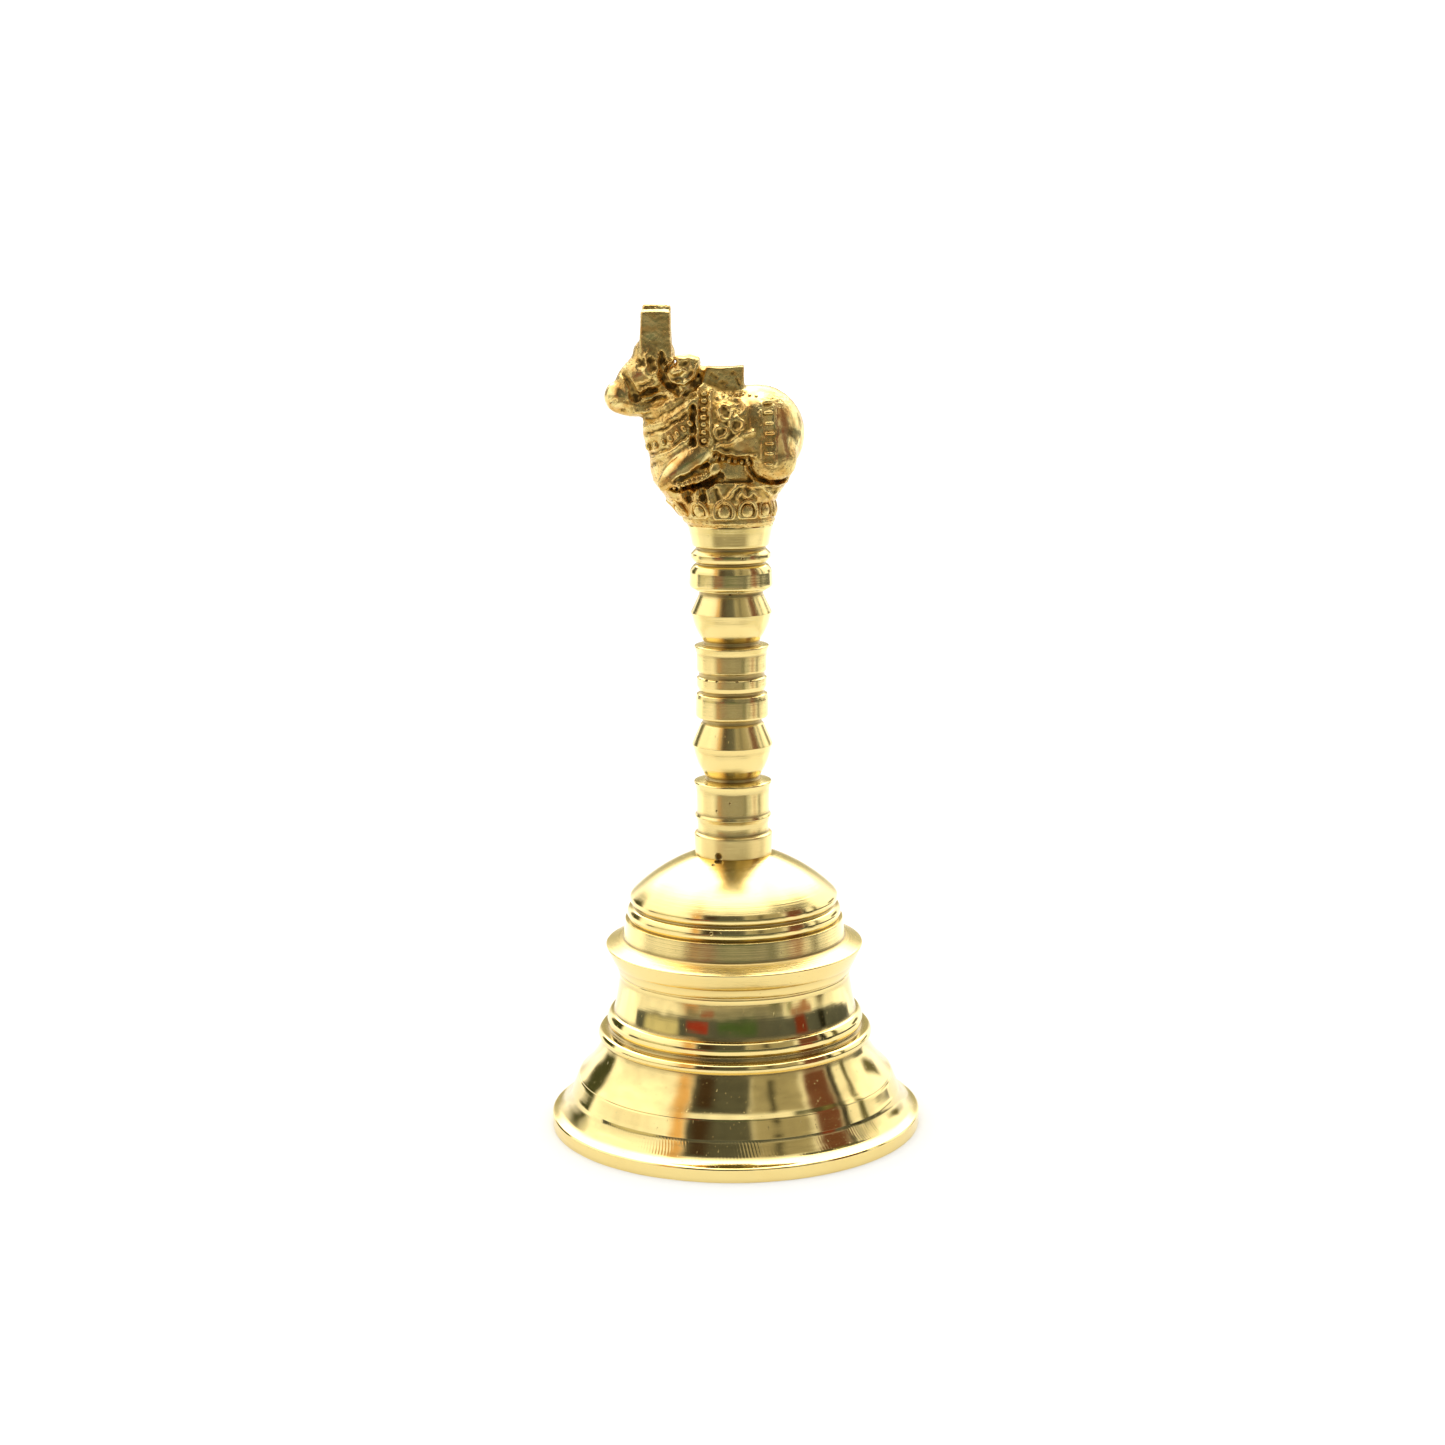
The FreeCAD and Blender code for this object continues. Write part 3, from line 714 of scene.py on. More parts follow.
# ridges and grooves seen from the side: half width, height (a groove is negative), then (x, z) points
bullRelief = [
    (0.55, -0.9, (-19.6, 147.9), (-18.4, 145.4), (-17.3, 143.0)),  # behind the muzzle
    (0.35, 0.35, (-20.6, 147.6), (-19.4, 145.0), (-18.8, 142.2)),
    (0.30, -0.5, (-21.4, 142.9), (-22.2, 142.5)),  # nostril
    (0.35, -0.45, (-22.6, 141.3), (-19.9, 141.0)),  # mouth
    (0.35, -0.5, (-17.2, 145.5), (-14.4, 146.5)),  # bridle straps
    (0.40, -0.6, (-16.9, 143.8), (-14.0, 145.0)),
    (0.30, -0.5, (-16.6, 142.2), (-12.2, 143.7)),
    (0.32, 0.3, (-16.8, 144.7), (-14.0, 145.8)),
    (0.32, 0.3, (-16.2, 143.0), (-12.9, 144.3)),
    (0.60, -0.8, (-16.6, 150.3), (-16.5, 149.5)),  # eye sockets
    (0.75, -1.0, (-14.5, 150.0), (-14.4, 148.8)),
    (0.32, 0.5, (-15.5, 151.5), (-15.6, 148.2)),
    (0.30, 0.4, (-13.4, 151.2), (-13.3, 148.6), (-14.4, 147.4), (-15.5, 148.2)),  # lid
    (0.60, -1.3, (-12.9, 148.0), (-11.6, 146.2), (-9.8, 144.4)),  # between cheek and neck
    (0.60, -1.2, (-12.8, 151.4), (-12.7, 148.2)),  # between horn and ear
    # ear
    (0.55, -0.9, (-12.0, 148.3), (-10.2, 149.7), (-8.0, 149.4), (-7.3, 148.3), (-9.0, 147.1),
     (-11.2, 147.2)),
    (0.50, 0.55, (-10.6, 148.5), (-9.3, 148.7)),  # boss in the ear
    (0.40, 0.55, (-12.0, 149.9), (-9.0, 150.9), (-5.6, 150.6), (-6.2, 148.0), (-8.6, 145.9),
     (-11.8, 146.1)),
    (0.50, -1.1, (-5.0, 150.0), (-5.7, 146.6), (-8.2, 144.0)),  # behind the ear
    (0.45, 0.42, (-18.0, 140.4), (-14.0, 141.2), (-10.6, 143.0), (-7.0, 145.6)),  # collar cord
    (0.28, -0.35, (-17.0, 139.0), (-13.4, 139.8), (-9.6, 142.0), (-6.8, 144.2)),
    (0.40, 0.36, (-16.6, 137.7), (-13.0, 138.6), (-9.4, 140.8), (-6.6, 143.0)),
    (0.30, -0.45, (-16.4, 136.5), (-12.8, 137.4), (-9.2, 139.6), (-6.8, 141.4)),
    (0.30, -0.45, (-15.6, 132.7), (-12.0, 133.9), (-8.8, 135.9), (-7.0, 137.6)),
    (0.35, 0.4, (-15.5, 131.8), (-12.2, 133.0), (-8.6, 135.2), (-7.0, 136.6)),
    (0.28, -0.3, (-15.2, 130.6), (-12.6, 131.6)),
    (0.95, -0.30, (-15.4, 134.1), (-12.4, 135.2), (-9.4, 137.0), (-7.4, 138.8)),  # bed of the garland
    (0.45, -1.0, (-6.9, 141.8), (-7.0, 138.2), (-7.1, 134.9)),  # in front of the girth
    (0.80, -0.40, (-4.8, 144.2), (-4.9, 139.8), (-4.8, 135.4)),  # beds of girth, fringe and strap
    (0.80, -0.06, (7.1, 142.0), (7.4, 137.0), (7.2, 131.0)),
    (0.30, 0.45, (-6.0, 144.6), (-6.1, 139.8), (-6.0, 134.9)),  # girth cords
    (0.30, 0.45, (-3.6, 144.6), (-3.7, 139.8), (-3.6, 135.0)),
    # rough skin of the hump
    (0.35, -0.5, (-3.4, 147.6), (-2.6, 147.2)), (0.30, -0.4, (0.4, 148.0), (1.1, 147.5)),
    (0.35, -0.45, (1.5, 146.5), (1.9, 145.7)), (0.28, -0.35, (-1.6, 145.9), (-0.7, 146.2)),
    (0.34, 0.5, (-2.2, 141.2), (-1.3, 142.2), (0.0, 141.8), (0.6, 140.6), (-0.2, 139.5), (-1.6, 139.6),
     (-2.2, 141.2)),
    (0.34, 0.5, (0.2, 139.2), (1.2, 139.9), (2.4, 139.1), (2.3, 137.7), (1.0, 137.2), (0.1, 138.0),
     (0.2, 139.2)),
    (0.34, 0.5, (-2.6, 138.0), (-1.4, 138.6), (-0.4, 137.6), (-0.9, 136.2), (-2.2, 136.1), (-2.8, 137.0),
     (-2.6, 138.0)),
    (0.34, 0.45, (0.9, 143.4), (2.3, 143.0), (3.2, 141.8), (2.4, 140.8)),
    (0.45, 0.5, (-2.7, 134.6), (0.2, 135.2), (2.0, 136.6), (4.2, 137.2)),  # lap of the saddle cloth
    (0.35, 0.55, (-3.2, 134.0), (-0.4, 133.1), (4.8, 132.6)),  # cloth's hem
    (0.45, -0.7, (-2.8, 132.6), (0.0, 131.8), (3.6, 131.4)),
    (0.22, 0.22, (5.9, 142.6), (6.2, 137.0), (6.0, 131.2)),  # strap over the rump
    (0.22, 0.22, (8.3, 141.9), (8.6, 137.0), (8.4, 131.0)),
    (0.40, -0.6, (3.4, 132.4), (3.7, 130.2), (5.0, 128.3), (7.8, 127.4), (10.8, 128.0)),  # round the haunch
    (0.30, 0.5, (3.1, 131.6), (3.5, 129.2), (5.0, 127.6), (8.0, 126.8), (10.8, 127.2)),
    (0.50, -1.2, (-11.0, 126.3), (-8.0, 126.6), (-4.4, 127.4), (-1.8, 128.8)),  # under the foreleg
    (0.35, -0.6, (-10.4, 128.0), (-7.4, 129.4), (-4.4, 131.2)),
    # bars of the base
    (0.35, 0.5, (-9.4, 126.6), (-9.2, 124.3)), (0.42, 0.55, (-6.5, 126.6), (-6.3, 123.8)),
    (0.50, -0.7, (-7.9, 126.2), (-7.8, 124.2)), (0.50, -0.7, (-5.2, 126.2), (-5.1, 124.2)),
    (0.45, 0.4, (-4.2, 126.4), (-4.0, 123.8)), (0.50, -0.5, (-2.9, 126.4), (-2.2, 125.0)),
    (0.36, 0.6, (5.8, 126.9), (1.3, 127.2), (-0.4, 125.1), (-2.6, 123.2)),
    (0.34, 0.5, (1.2, 124.6), (2.2, 126.2), (3.2, 124.8), (4.2, 126.2), (5.2, 124.8)),
    (0.30, 0.45, (6.4, 126.4), (8.0, 124.6), (9.4, 126.2)),
]

# spots rubbed smooth by the buffing wheel: x, z, radius
buffedSpots = [
    (-21.6, 143.8, 2.6), (-16.6, 147.6, 1.6), (-9.6, 130.9, 4.2), (2.0, 134.6, 1.6), (11.0, 137.5, 5.2),
    (9.6, 133.4, 2.0), (-8.6, 147.2, 2.0), (-14.9, 156.4, 2.2), (4.2, 143.6, 3.2), (-5.2, 132.2, 2.4),
]


def gridAxes(low, high, cell):
    return [np.arange(a, b, cell) for a, b in zip(low, high)]


def blendMin(a, b, softness):
    share = np.clip(0.5 + 0.5 * (b - a) / softness, 0, 1)
    return b + (a - b) * share - softness * share * (1 - share)


def ellipsoidField(x, y, z, place, size, tilt):
    turn = math.radians(tilt)
    dx, dy, dz = x - place[0], y - abs(place[1]), z - place[2]
    along = dx * math.cos(turn) - dz * math.sin(turn)
    above = dx * math.sin(turn) + dz * math.cos(turn)
    near = np.sqrt((along / size[0]) ** 2 + (dy / size[1]) ** 2 + (above / size[2]) ** 2)
    slope = np.sqrt((along / size[0] ** 2) ** 2 + (dy / size[1] ** 2) ** 2 + (above / size[2] ** 2) ** 2)
    return near * (near - 1) / np.maximum(slope, 1e-6)


def blockField(x, y, z, low, high, corner):
    spans = [np.maximum(a - v, v - b) + corner for v, a, b in zip((x, y, z), low, high)]
    outside = np.sqrt(sum(np.maximum(s, 0) ** 2 for s in spans))
    inside = np.minimum(np.maximum(np.maximum(spans[0], spans[1]), spans[2]), 0)
    return outside + inside - corner


def strokeDistance(x, z, points):
    best = np.full(np.broadcast(x, z).shape, 99.0)
    for (ax, az), (bx, bz) in zip(points[:-1], points[1:]):
        dx, dz = bx - ax, bz - az
        share = np.clip(((x - ax) * dx + (z - az) * dz) / (dx * dx + dz * dz), 0, 1)
        best = np.minimum(best, np.hypot(x - ax - share * dx, z - az - share * dz))
    return best


def waved(start, x, z, waves):
    for height, alongX, alongZ in waves:
        start = start + height * np.sin(alongX * x + alongZ * z)
    return start


def reliefHeight(x, z):
    # the wax was laid on by hand, so the strokes waver and swell
    x, z = waved(x, x, z, bull["waverX"]), waved(z, x, z, bull["waverZ"])
    first, second = [waved(0, x, z, waves) for waves in bull["swell"]]
    swell = (1 + first * second) * np.where(z > bull["headFrom"], bull["headShare"], 1.0)
    raised = np.zeros(np.broadcast(x, z).shape)
    sunk = np.zeros_like(raised)
    for halfWidth, height, *points in bullRelief:
        away = strokeDistance(x, z, points) / (halfWidth * bull["strokeReach"])
        near = np.clip(1 - away ** 2, 0, 1) ** bull["strokeRound"]
        if height > 0:
            raised = np.maximum(raised, near * height)
        else:
            sunk = np.minimum(sunk, near * height)
    return (raised + sunk) * swell


def bullField(x, y, z):
    side = np.abs(y)
    field = None
    for place, size, tilt, softness in bullMasses:
        mass = ellipsoidField(x, side, z, place, size, tilt)
        field = mass if field is None else blendMin(field, mass, softness)
    left, right, halfY = [np.interp(z, plinth["levels"], plinth[key]) for key in ("left", "right", "halfY")]
    oval = np.sqrt(((x - (left + right) / 2) / (right - left) * 2) ** 2 + (y / halfY) ** 2)
    field = blendMin(field, np.maximum((oval - 1) * halfY, z - plinth["top"]), plinth["join"])
    dish = hump["dishLow"] + hump["dishBend"] * (x - hump["dishAt"]) ** 2
    block = blockField(x, y, z, hump["low"], hump["high"], hump["corner"])
    field = blendMin(field, np.maximum(block, z - dish), hump["join"])
    across = x - np.where(y > 0, horns["lean"], 0.0) * (z - horns["leanFrom"])
    rise = z - horns["taperFrom"]
    front = -across + horns["low"][0] + rise * horns["taper"][0]
    rear = across - horns["right"] + rise * horns["taper"][1]
    notch = (horns["notchHalf"] - side) * horns["notchSide"] - (horns["notchFrom"] - z) * horns["notchRise"]
    slopeY, fromY = horns["cutY"]
    slopeX, fromX = horns["cutX"]
    cut = z - horns["top"] + slopeY * np.maximum(fromY - y, 0) + slopeX * np.maximum(x - fromX, 0)
    horn = blockField(across, side, z, horns["low"], horns["high"], horns["corner"])
    for limit in (front, rear, notch, cut):
        horn = np.maximum(horn, limit)
    return blendMin(field, horn, horns["join"])


def ledges(field, z):
    # plain rings under the lotus petals
    for height, proud in bull["ledges"]:
        field = field - proud * np.clip(1 - ((z - height) / bull["ledgeHalf"]) ** 2, 0, 1)
    return field


def netSurface(field, low, cell):
    # one point in each cell that the surface crosses, one face round each grid edge that it crosses
    inside = field < 0
    size = np.array(inside.shape) - 1
    shifts = [(i, j, k) for i in (0, 1) for j in (0, 1) for k in (0, 1)]
    count = sum(inside[i:i + size[0], j:j + size[1], k:k + size[2]].astype(np.int8) for i, j, k in shifts)
    cells = np.argwhere((count > 0) & (count < 8))
    index = np.full(size, -1, np.int64)
    index[tuple(cells.T)] = np.arange(len(cells))
    corner = {s: field[tuple((cells + s).T)] for s in shifts}
    total, hits = np.zeros((len(cells), 3)), np.zeros(len(cells))
    for start in shifts:
        for axis in range(3):
            if start[axis]:
                continue
            end = tuple(v + (axis == n) for n, v in enumerate(start))
            a, b = corner[start], corner[end]
            crossed = (a < 0) != (b < 0)
            spot = np.tile(np.array(start, float), (len(cells), 1))
            spot[:, axis] += np.where(crossed, a / np.where(crossed, a - b, 1), 0)
            total += spot * crossed[:, None]
            hits += crossed
    points = np.array(low) + cell * (cells + total / hits[:, None])
    faces = []
    for axis in range(3):
        u, v = (axis + 1) % 3, (axis + 2) % 3
        first = np.take(inside, range(0, inside.shape[axis] - 1), axis)
        second = np.take(inside, range(1, inside.shape[axis]), axis)
        at = np.argwhere(first != second)
        at = at[(at[:, u] > 0) & (at[:, v] > 0) & (at[:, u] < size[u]) & (at[:, v] < size[v])]
        solid = first[tuple(at.T)]
        around = []
        for du, dv in ((1, 1), (0, 1), (0, 0), (1, 0)):
            owner = at.copy()
            owner[:, u] -= du
            owner[:, v] -= dv
            around.append(index[tuple(owner.T)])
        quads = np.stack(around, 1)
        quads[~solid] = quads[~solid][:, ::-1]
        faces.append(quads)
    return points, np.concatenate(faces)


def edgeNeighbours(faces, count):
    pairs = np.concatenate([np.stack((faces[:, i], faces[:, (i + 1) % 4]), 1) for i in range(4)])
    degree = np.bincount(pairs[:, 0], minlength=count) + np.bincount(pairs[:, 1], minlength=count)
    return pairs, np.maximum(degree, 1)


def averaged(values, pairs, degree):
    total = np.empty_like(values)
    for n in range(values.shape[1]):
        total[:, n] = np.bincount(pairs[:, 0], values[pairs[:, 1], n], len(values))
        total[:, n] += np.bincount(pairs[:, 1], values[pairs[:, 0], n], len(values))
    return total / degree[:, None]


def pointNormals(points, faces):
    across = np.cross(points[faces[:, 2]] - points[faces[:, 0]], points[faces[:, 3]] - points[faces[:, 1]])
    normals = np.stack([sum(np.bincount(faces[:, i], across[:, n],
                                        len(points)) for i in range(4)) for n in range(3)], 1)
    return normals / np.maximum(np.linalg.norm(normals, axis=1), 1e-9)[:, None]


def castMesh(name):
    axes = gridAxes(bull["low"], bull["high"], bull["cell"])
    x, y, z = np.meshgrid(*axes, indexing="ij", sparse=True)
    relief = reliefHeight(x[:, 0, :], z[:, 0, :])[:, None, :]
    bare, rising = bull["flank"]
    flank = np.clip((np.abs(y) - bare) / rising, 0.0, 1.0)
    field = ledges(bullField(x, y, z) - relief * flank, z)
    field = np.maximum(field, bull["floor"] - z)
    points, faces = netSurface(field, [a[0] for a in axes], bull["cell"])
    pairs, degree = edgeNeighbours(faces, len(points))
    for _ in range(bull["smoothRounds"]):
        points = points * 0.5 + averaged(points, pairs, degree) * 0.5
    normals = pointNormals(points, faces)
    # how far each point lies below its smoothed neighbours; the material paints shade, with tarnish, into
    # these hollows
    smooth = points
    for _ in range(bull["hollowRounds"]):
        smooth = averaged(smooth, pairs, degree)
    recess = np.clip(((smooth - points) * normals).sum(1) / bull["hollowDeep"], 0, 1)
    buffed = np.zeros(len(points))
    reach, fade = bull["buffed"]
    for bx, bz, radius in buffedSpots:
        away = np.hypot(points[:, 0] - bx, points[:, 2] - bz) / radius
        buffed = np.maximum(buffed, np.clip(reach - away * fade, 0, 1))
    onOpen, inHollow = bull["sand"]
    grain = np.clip(1 - buffed, 0, 1) * (onOpen + inHollow * np.clip(recess * 2, 0, 1))
    bumps = noiseAt(points, bull["bumps"])
    points = points + normals * (bumps * bull["grain"] * (bull["leastGrain"] + grain))[:, None]
    mesh = newMesh(name, points, faces)
    addValues(mesh, "recess", recess)
    addValues(mesh, "grain", grain)
    return mesh


# beads, rungs and petals set on the casting: paths seen from the side in (x, z), sizes along, across and
# high
ornament = {
    "seed": 7, "standOff": 16.0, "rayLength": 60, "sink": 0.04, "vary": 0.10, "petalVary": 0.04,
    "garland": {"path": [(-15.3, 134.1), (-12.4, 135.2), (-9.4, 137.0), (-7.5, 138.7)], "pitch": 1.40,
                "size": (1.05, 1.55, 0.75)},
    "girth": {"path": [(-4.8, 144.0), (-4.9, 139.8), (-4.8, 135.6)], "pitch": 1.40,
              "size": (1.05, 1.40, 0.80)},
    "strap": {"path": [(7.1, 142.4), (7.4, 137.0), (7.2, 131.2)], "pitch": 1.66, "size": (0.80, 2.0, 0.75)},
    "fringe": {"path": [(-2.6, 132.4), (0.0, 131.6), (3.4, 131.2)], "pitch": 1.10,
               "size": (0.85, 1.25, 0.60)},
    "anklet": {"path": [(-10.5, 126.9), (-7.4, 128.1), (-4.5, 129.2)], "pitch": 0.90,
               "size": (0.65, 1.05, 0.50)},
    "blanket": {"path": [(-2.4, 143.4), (1.2, 144.0), (5.0, 143.6)], "pitch": 1.15,
                "size": (0.75, 0.75, 0.30)},
    "petals": {"count": 11, "slack": 0.02, "turn": -8.0, "height": 122.2, "size": (3.6, 4.2), "rim": 0.42,
               "dome": 0.62},
}


def beadMesh(size, square=0.55):
    # a rounded block with its foot sunk in the casting, and shade painted on its sides, darker towards the
    # foot
    rows, spokes = 6, 12
    up = np.linspace(-math.pi / 2, math.pi / 2, rows + 1)[1:-1]
    turn = np.linspace(0, 2 * math.pi, spokes, endpoint=False)
    ball = [(math.cos(a) * math.cos(t), math.cos(a) * math.sin(t), math.sin(a)) for a in up for t in turn]
    ball = np.array([(0, 0, -1), *ball, (0, 0, 1)])
    ball /= (np.abs(ball).max(1) ** square)[:, None]
    faces = [[0, 1 + (i + 1) % spokes, 1 + i] for i in range(spokes)]
    for row in range(len(up) - 1):
        first = 1 + row * spokes
        for i in range(spokes):
            k = (i + 1) % spokes
            faces.append([first + i, first + k, first + spokes + k, first + spokes + i])
    last, top = 1 + (len(up) - 1) * spokes, len(ball) - 1
    faces += [[last + i, last + (i + 1) % spokes, top] for i in range(spokes)]
    mesh = newMesh("bead", ball * (size[0] / 2, size[1] / 2, size[2]), faces)
    # painted shade, darkest at the foot
    addValues(mesh, "recess", np.clip(0.9 - ball[:, 2] * 1.6, 0, 1))
    addValues(mesh, "grain", np.full(len(ball), 0.4))
    return mesh


def petalMesh(petal):
    # a raised rim round a shallow dome; it lies in XY, with its tip towards +Y
    width, tall = petal["size"]
    turn = np.linspace(0, 2 * math.pi, 28, endpoint=False)
    arch = np.column_stack((np.cos(turn) * width / 2, np.maximum(np.sin(turn), -0.55) * tall / 2, 0 * turn))
    rim = sweepMesh("rim", arch, petal["rim"], sides=8, closed=True)
    dome = beadMesh((width * 0.72, tall * 0.66, petal["dome"]), square=0.1)
    addValues(rim, "recess", np.zeros(len(rim.vertices)))
    addValues(rim, "grain", np.full(len(rim.vertices), 0.3))
    return joinMeshes("petal", faceOutwards(rim), dome)


def newTree(name, inputs):
    tree = bpy.data.node_groups.new(name, "GeometryNodeTree")
    tree.interface.new_socket("Geometry", in_out="INPUT", socket_type="NodeSocketGeometry")
    for label, kind in inputs.items():
        tree.interface.new_socket(label, in_out="INPUT", socket_type="NodeSocket" + kind)
    tree.interface.new_socket("Geometry", in_out="OUTPUT", socket_type="NodeSocketGeometry")
    return tree, partial(addNode, tree), tree.nodes.new("NodeGroupInput").outputs


def finishTree(add, shape, given):
    real = add("GeometryNodeRealizeInstances", shape)
    done = add("GeometryNodeSetMaterial", real, sockets={"Material": given["Finish"]})
    add("NodeGroupOutput", done)


def spreadOnCasting():
    # walks a path at an even pitch, drops each place on the casting, and sets an ornament square to it
    tree, add, given = newTree("spread on casting", {
        "Casting": "Object", "Ornament": "Object", "Pitch": "Float", "Aim": "Vector",
        "Sink": "Float", "Vary": "Float", "Seed": "Int", "Finish": "Material"})
    line = add("GeometryNodeMeshToCurve", given["Geometry"])
    walk = add("GeometryNodeCurveToPoints", line, mode="LENGTH", sockets={"Length": given["Pitch"]})
    tangent = walk.node.outputs["Tangent"]
    place = add("GeometryNodeInputPosition")
    inward = add("VectorMath", place, given["Aim"], operation="MULTIPLY")
    skin = add("GeometryNodeObjectInfo", given["Casting"], output="Geometry", transform_space="RELATIVE")
    ray = {"Ray Direction": inward, "Ray Length": ornament["rayLength"] * mm}
    hit = add("GeometryNodeRaycast", skin, sockets=ray).node.outputs
    below = add("VectorMath", hit["Hit Normal"], sockets={"Scale": given["Sink"]}, operation="SCALE")
    landed = add("VectorMath", hit["Hit Position"], below, operation="SUBTRACT")
    up = add("FunctionNodeAlignRotationToVector", axis="Z", sockets={"Vector": hit["Hit Normal"]})
    square = add("FunctionNodeAlignRotationToVector", axis="X", pivot_axis="Z",
                 sockets={"Rotation": up, "Vector": tangent})
    # the turn is kept with each point, because moving the point would change what the ray meets
    kept = add("GeometryNodeStoreNamedAttribute", walk, None, "turned", square, data_type="QUATERNION",
               domain="POINT")
    moved = add("GeometryNodeSetPosition", kept, hit["Is Hit"], landed)
    turned = add("GeometryNodeInputNamedAttribute", "turned", data_type="QUATERNION")
    shape = add("GeometryNodeObjectInfo", given["Ornament"], output="Geometry", transform_space="ORIGINAL")
    least = add("Math", 1.0, given["Vary"], operation="SUBTRACT")
    most = add("Math", 1.0, given["Vary"], operation="ADD")
    scale = add("FunctionNodeRandomValue", data_type="FLOAT", output=1,
                sockets={2: least, 3: most, "Seed": given["Seed"]})
    many = add("GeometryNodeInstanceOnPoints", moved, sockets={"Instance": shape, "Rotation": turned,
                                                               "Scale": scale})
    finishTree(add, many, given)
    return tree


def rolledThread():
    tree, add, given = newTree("rolled thread", {
        "Radius": "Float", "Depth": "Float", "Pitch": "Float", "Bottom": "Float", "Length": "Float",
        "Finish": "Material"})
    turns = add("Math", given["Length"], given["Pitch"], operation="DIVIDE")
    helix = add("GeometryNodeCurveSpiral", sockets={"Resolution": 28, "Rotations": turns,
                                                    "Start Radius": given["Radius"],
                                                    "End Radius": given["Radius"],
                                                    "Height": given["Length"]})
    ridge = add("GeometryNodeCurvePrimitiveCircle", sockets={"Resolution": 4, "Radius": given["Depth"]})
    wire = add("GeometryNodeCurveToMesh", helix, ridge, sockets={"Fill Caps": True})
    rise = add("CombineXYZ", 0.0, 0.0, given["Bottom"])
    placed = add("GeometryNodeTransform", wire, sockets={"Translation": rise})
    finishTree(add, placed, given)
    return tree


def grow(name, tree, source, values):
    # inputs are set by their identifiers before the first evaluation, and the result becomes a plain mesh
    holder = addObject(name + "_source", source)
    modifier = holder.modifiers.new("grow", "NODES")
    modifier.node_group = tree
    for item in tree.interface.items_tree:
        if item.in_out == "INPUT" and item.name in values:
            modifier[item.identifier] = values[item.name]
    bpy.context.view_layer.update()
    ready = holder.evaluated_get(bpy.context.evaluated_depsgraph_get())
    mesh = bpy.data.meshes.new_from_object(ready)
    mesh.name = name
    bpy.data.objects.remove(holder)
    return mesh


def pathMesh(points, closed=False):
    mesh = bpy.data.meshes.new("path")
    count = len(points)
    edges = [(i, (i + 1) % count) for i in range(count if closed else count - 1)]
    mesh.from_pydata([tuple(v * mm for v in p) for p in points], edges, [])
    return mesh


def castOrnaments(casting, material):
    tree = spreadOnCasting()
    parts = []
    for label in ("garland", "girth", "strap", "fringe", "anklet", "blanket"):
        wanted = ornament[label]
        shape = addObject("bead", beadMesh(wanted["size"]))
        for side in (-1, 1):
            path = pathMesh([(x, side * ornament["standOff"], z) for x, z in wanted["path"]])
            parts.append(grow(label, tree, path, {
                "Casting": casting, "Ornament": shape, "Pitch": wanted["pitch"] * mm, "Aim": (0, -1, 0),
                "Sink": ornament["sink"] * mm, "Vary": ornament["vary"], "Seed": ornament["seed"] + side,
                "Finish": material}))
        bpy.data.objects.remove(shape)
    petals = ornament["petals"]
    shape = addObject("petal", petalMesh(petals))
    turn = np.linspace(0, 2 * math.pi, 96, endpoint=False)
    turn = turn + math.radians(petals["turn"])
    reach = ornament["standOff"]
    circle = [(reach * math.cos(t), reach * math.sin(t), petals["height"]) for t in turn]
    around = 2 * math.pi * reach * mm
    parts.append(grow("petals", tree, pathMesh(circle, closed=True), {
        "Casting": casting, "Ornament": shape, "Pitch": around / (petals["count"] + petals["slack"]),
        "Aim": (-1, -1, 0), "Sink": 0.0, "Vary": ornament["petalVary"], "Seed": ornament["seed"],
        "Finish": material}))
    bpy.data.objects.remove(shape)
    return joinMeshes("cast_beads_and_petals", *parts)


# hanger and clapper; sizes that the frame doesn't hold, in mm
hanger = {
    "eyeWire": 1.1, "linkGap": 4.0, "threadPitch": 0.7, "threadDepth": 0.26, "nutFlats": 7.0,
    "nutFace": 0.96, "chamfer": 30.0, "bore": 2.02, "countersink": 0.35, "washerPlay": 0.15,
}
clapper = {
    "wire": 0.9, "stem": 1.12, "stemPoints": 14, "stemFrom": 0.5, "bendFrom": 1.6, "bendTo": 0.5,
    "eyeFrom": -52.0, "eyeTo": 252.0, "rivetHead": 0.7, "flat": 2.2, "neck": 2.4, "collarTop": 2.0,
    "bore": 1.15,
}


def arcPoints(centre, radius, start, end, plane, count=40):
    # angles in degrees from the sideways axis towards +Z
    turn = np.radians(np.linspace(start, end, count))
    side, up = radius * np.cos(turn), centre + radius * np.sin(turn)
    return np.column_stack((side, 0 * turn, up) if plane == "XZ" else (0 * turn, side, up))


def eyeBoltMesh():
    low, high = (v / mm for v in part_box("hanger_eye_bolt"))
    wire, shank = hanger["eyeWire"], high.y
    centre = low.z + high.x
    eye = sweepMesh("eye", arcPoints(centre, high.x - wire, 90, 450, "XZ", 73)[:-1], wire, closed=True)
    neck = centre + high.x - 2 * wire
    core = shank - hanger["threadDepth"]
    outline = [(0.1, neck), (1.0, neck), (1.15, neck + 0.9), (shank - 0.05, neck + 2.6),
               (shank - 0.05, neck + 3.6),
               (core, neck + 4.0), (core, high.z - 0.8), (core - 0.6, high.z), (0.1, high.z)]
    stem = latheMesh("stem", outline, 32, edge=0.08, longest=2.0)
    tree = rolledThread()
    bottom = neck + 4.2
    thread = grow("thread", tree, pathMesh([(0, 0, 0), (0, 0, 1)]), {
        "Radius": core * mm, "Depth": hanger["threadDepth"] * mm, "Pitch": hanger["threadPitch"] * mm,
        "Bottom": bottom * mm, "Length": (high.z - 1.1 - bottom) * mm, "Finish": None})
    return joinMeshes("eye_bolt_threaded", faceOutwards(eye), faceOutwards(stem), faceOutwards(thread))


def washerMesh():
    low, high = (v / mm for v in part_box("crown_washer"))
    bore = hanger["bore"] + hanger["washerPlay"]
    outline = [(bore, low.z), (high.x, low.z), (high.x, high.z), (bore, high.z)]
    return faceOutwards(latheMesh("washer_pressed", outline, 64, edge=0.06, longest=0.8))


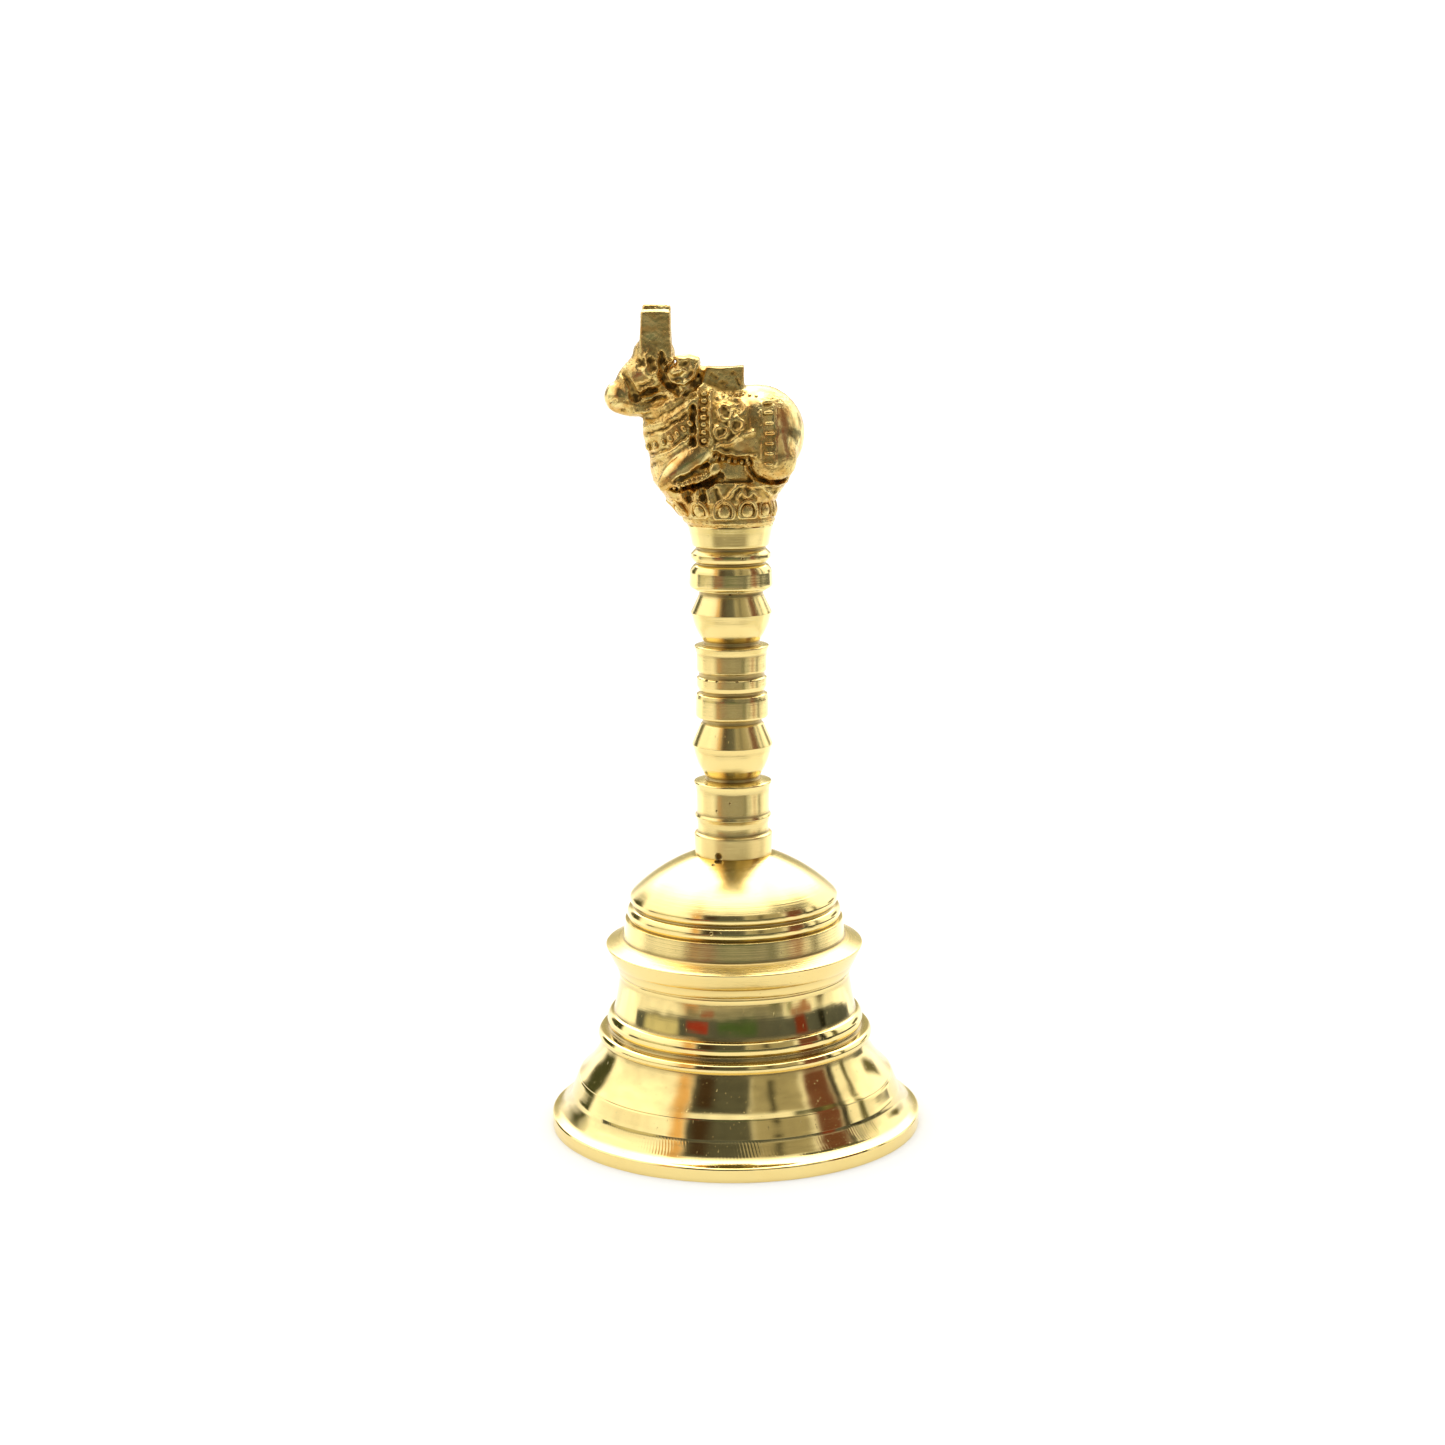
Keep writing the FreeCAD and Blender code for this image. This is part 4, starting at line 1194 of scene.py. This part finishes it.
def nutMesh():
    # six flats with both ends turned to a chamfer, and a countersunk bore
    low, high = (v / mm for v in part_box("lock_nut"))
    turn = np.linspace(0, 2 * math.pi, 96, endpoint=False)
    half = hanger["nutFlats"] / 2
    corner = half / np.cos((turn + math.pi / 6) % (math.pi / 3) - math.pi / 6)
    corner = np.minimum(corner, high.x)
    face, bore, sink = half * hanger["nutFace"], hanger["bore"], hanger["countersink"]
    drop = (corner - face) * math.tan(math.radians(hanger["chamfer"]))
    rings = [(bore, low.z + sink), (bore + sink, low.z), (face, low.z), (corner, low.z + drop),
             (corner, high.z - drop), (face, high.z), (bore + sink, high.z), (bore, high.z - sink)]
    points = np.array([np.column_stack((r * np.cos(turn), r * np.sin(turn), z + 0 * turn)) for r,
                       z in rings])
    mesh = faceOutwards(ringMesh("nut_hexagon", points))
    mesh.polygons.foreach_set("use_smooth", np.zeros(len(mesh.polygons), bool))
    return mesh


def linkMesh():
    # wire bent round until its ends butt together
    low, high = (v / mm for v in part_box("clapper_link"))
    wire = high.x
    gap = hanger["linkGap"]
    path = arcPoints((low.z + high.z) / 2, high.y - wire, gap / 2, 360 - gap / 2, "YZ", 72)
    return faceOutwards(sweepMesh("link_of_wire", path, wire, sides=20))


def rodMesh():
    # one length of wire: a rivet head under the ball, a straight rod, and an eye turned at the top
    low, high = (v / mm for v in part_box("clapper_rod"))
    wire = clapper["wire"]
    radius = high.x - wire
    centre = high.z - high.x
    count, foot = clapper["stemPoints"], centre - radius
    stem = np.zeros((count, 3))
    stem[:, 2] = np.linspace(low.z + clapper["stemFrom"], foot - clapper["bendFrom"], count)
    eye = arcPoints(centre, radius, clapper["eyeFrom"], clapper["eyeTo"], "XZ", 56)
    bend = np.linspace(0, 1, 8)[1:-1, None]
    start, finish = stem[-1], eye[0]
    middle = np.array([0.0, 0.0, foot - clapper["bendTo"]])
    bend = start * (1 - bend) ** 2 + 2 * middle * bend * (1 - bend) + finish * bend ** 2
    path = np.concatenate((stem, bend, eye))
    width = np.full(len(path), wire)
    width[:count] = clapper["stem"]
    wireMesh = sweepMesh("wire", path, width, sides=20)
    head = low.z + clapper["rivetHead"]
    outline = [(0.1, low.z), (0.9, low.z + 0.02), (1.55, low.z + 0.2, 1.9, head), (0.1, head)]
    rivet = latheMesh("rivet", outline, 40, edge=0.04, longest=0.5)
    return joinMeshes("clapper_wire_and_rivet", faceOutwards(wireMesh), faceOutwards(rivet))


def ballMesh():
    low, high = (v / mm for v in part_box("clapper_ball"))
    size = high.x
    centre = low.z + math.sqrt(size ** 2 - clapper["flat"] ** 2)
    neck = centre + math.sqrt(size ** 2 - clapper["neck"] ** 2)
    outline = [(clapper["bore"], low.z), (clapper["flat"], low.z), (size, centre, clapper["neck"], neck),
               (clapper["collarTop"], high.z), (clapper["bore"], high.z)]
    return faceOutwards(latheMesh("clapper_ball_turned", outline, 96, edge=0.08, longest=0.5, sharpest=6,
                                  wobble=0.04,
                                  zones={"marks": [(low.z, high.z, 0.5)]}))


addCamera()
addFloor()
addRoom()
brass = turnedBrassMaterial()
castMetal = castBrassMaterial()
clapperMetal = clapperBrassMaterial()
steel = platedSteelMaterial()
print("studio and materials made")

shellMesh = latheMesh("bell_shell_turned", bellOutline(), bell["segments"], bell["edge"],
                      wobble=bell["wobble"],
                      zones={"marks": bell["marks"], "chatter": bell["chatter"]})
addPiece(shellMesh, brass, "bell", "turned_brass", "bell_shell")
gripMesh = latheMesh("grip_turned", gripOutline(), grip["segments"], grip["edge"], grip["longest"],
                     wobble=grip["wobble"],
                     zones={"marks": grip["marks"]})
addPiece(gripMesh, brass, "bell", "turned_brass", "turned_grip")
collarMesh = latheMesh("finial_collar_turned", collarOutline(), collar["segments"], collar["edge"],
                       collar["longest"],
                       wobble=grip["wobble"], zones={"marks": collar["marks"]})
addPiece(collarMesh, brass, "bell", "turned_brass")
casting = addPiece(castMesh("bull_casting"), castMetal, "bell", "cast_brass", "bull_finial")
addPiece(castOrnaments(casting, castMetal), castMetal, "bell", "cast_brass")

addPiece(eyeBoltMesh(), steel, "bell", "steel_hardware", "hanger_eye_bolt")
addPiece(washerMesh(), steel, "bell", "steel_hardware", "crown_washer")
addPiece(nutMesh(), steel, "bell", "steel_hardware", "lock_nut")
addPiece(linkMesh(), steel, "link", "steel_hardware", "clapper_link")
addPiece(rodMesh(), clapperMetal, "clapper", "clapper_brass", "clapper_rod")
addPiece(ballMesh(), clapperMetal, "clapper", "clapper_brass", "clapper_ball")
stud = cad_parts["finial_stud"]  # hidden in the handle, so the plain rod of the frame does
stud.data.materials.clear()
stud.data.materials.append(steel)

bpy.context.scene.view_settings.view_transform = "Standard"
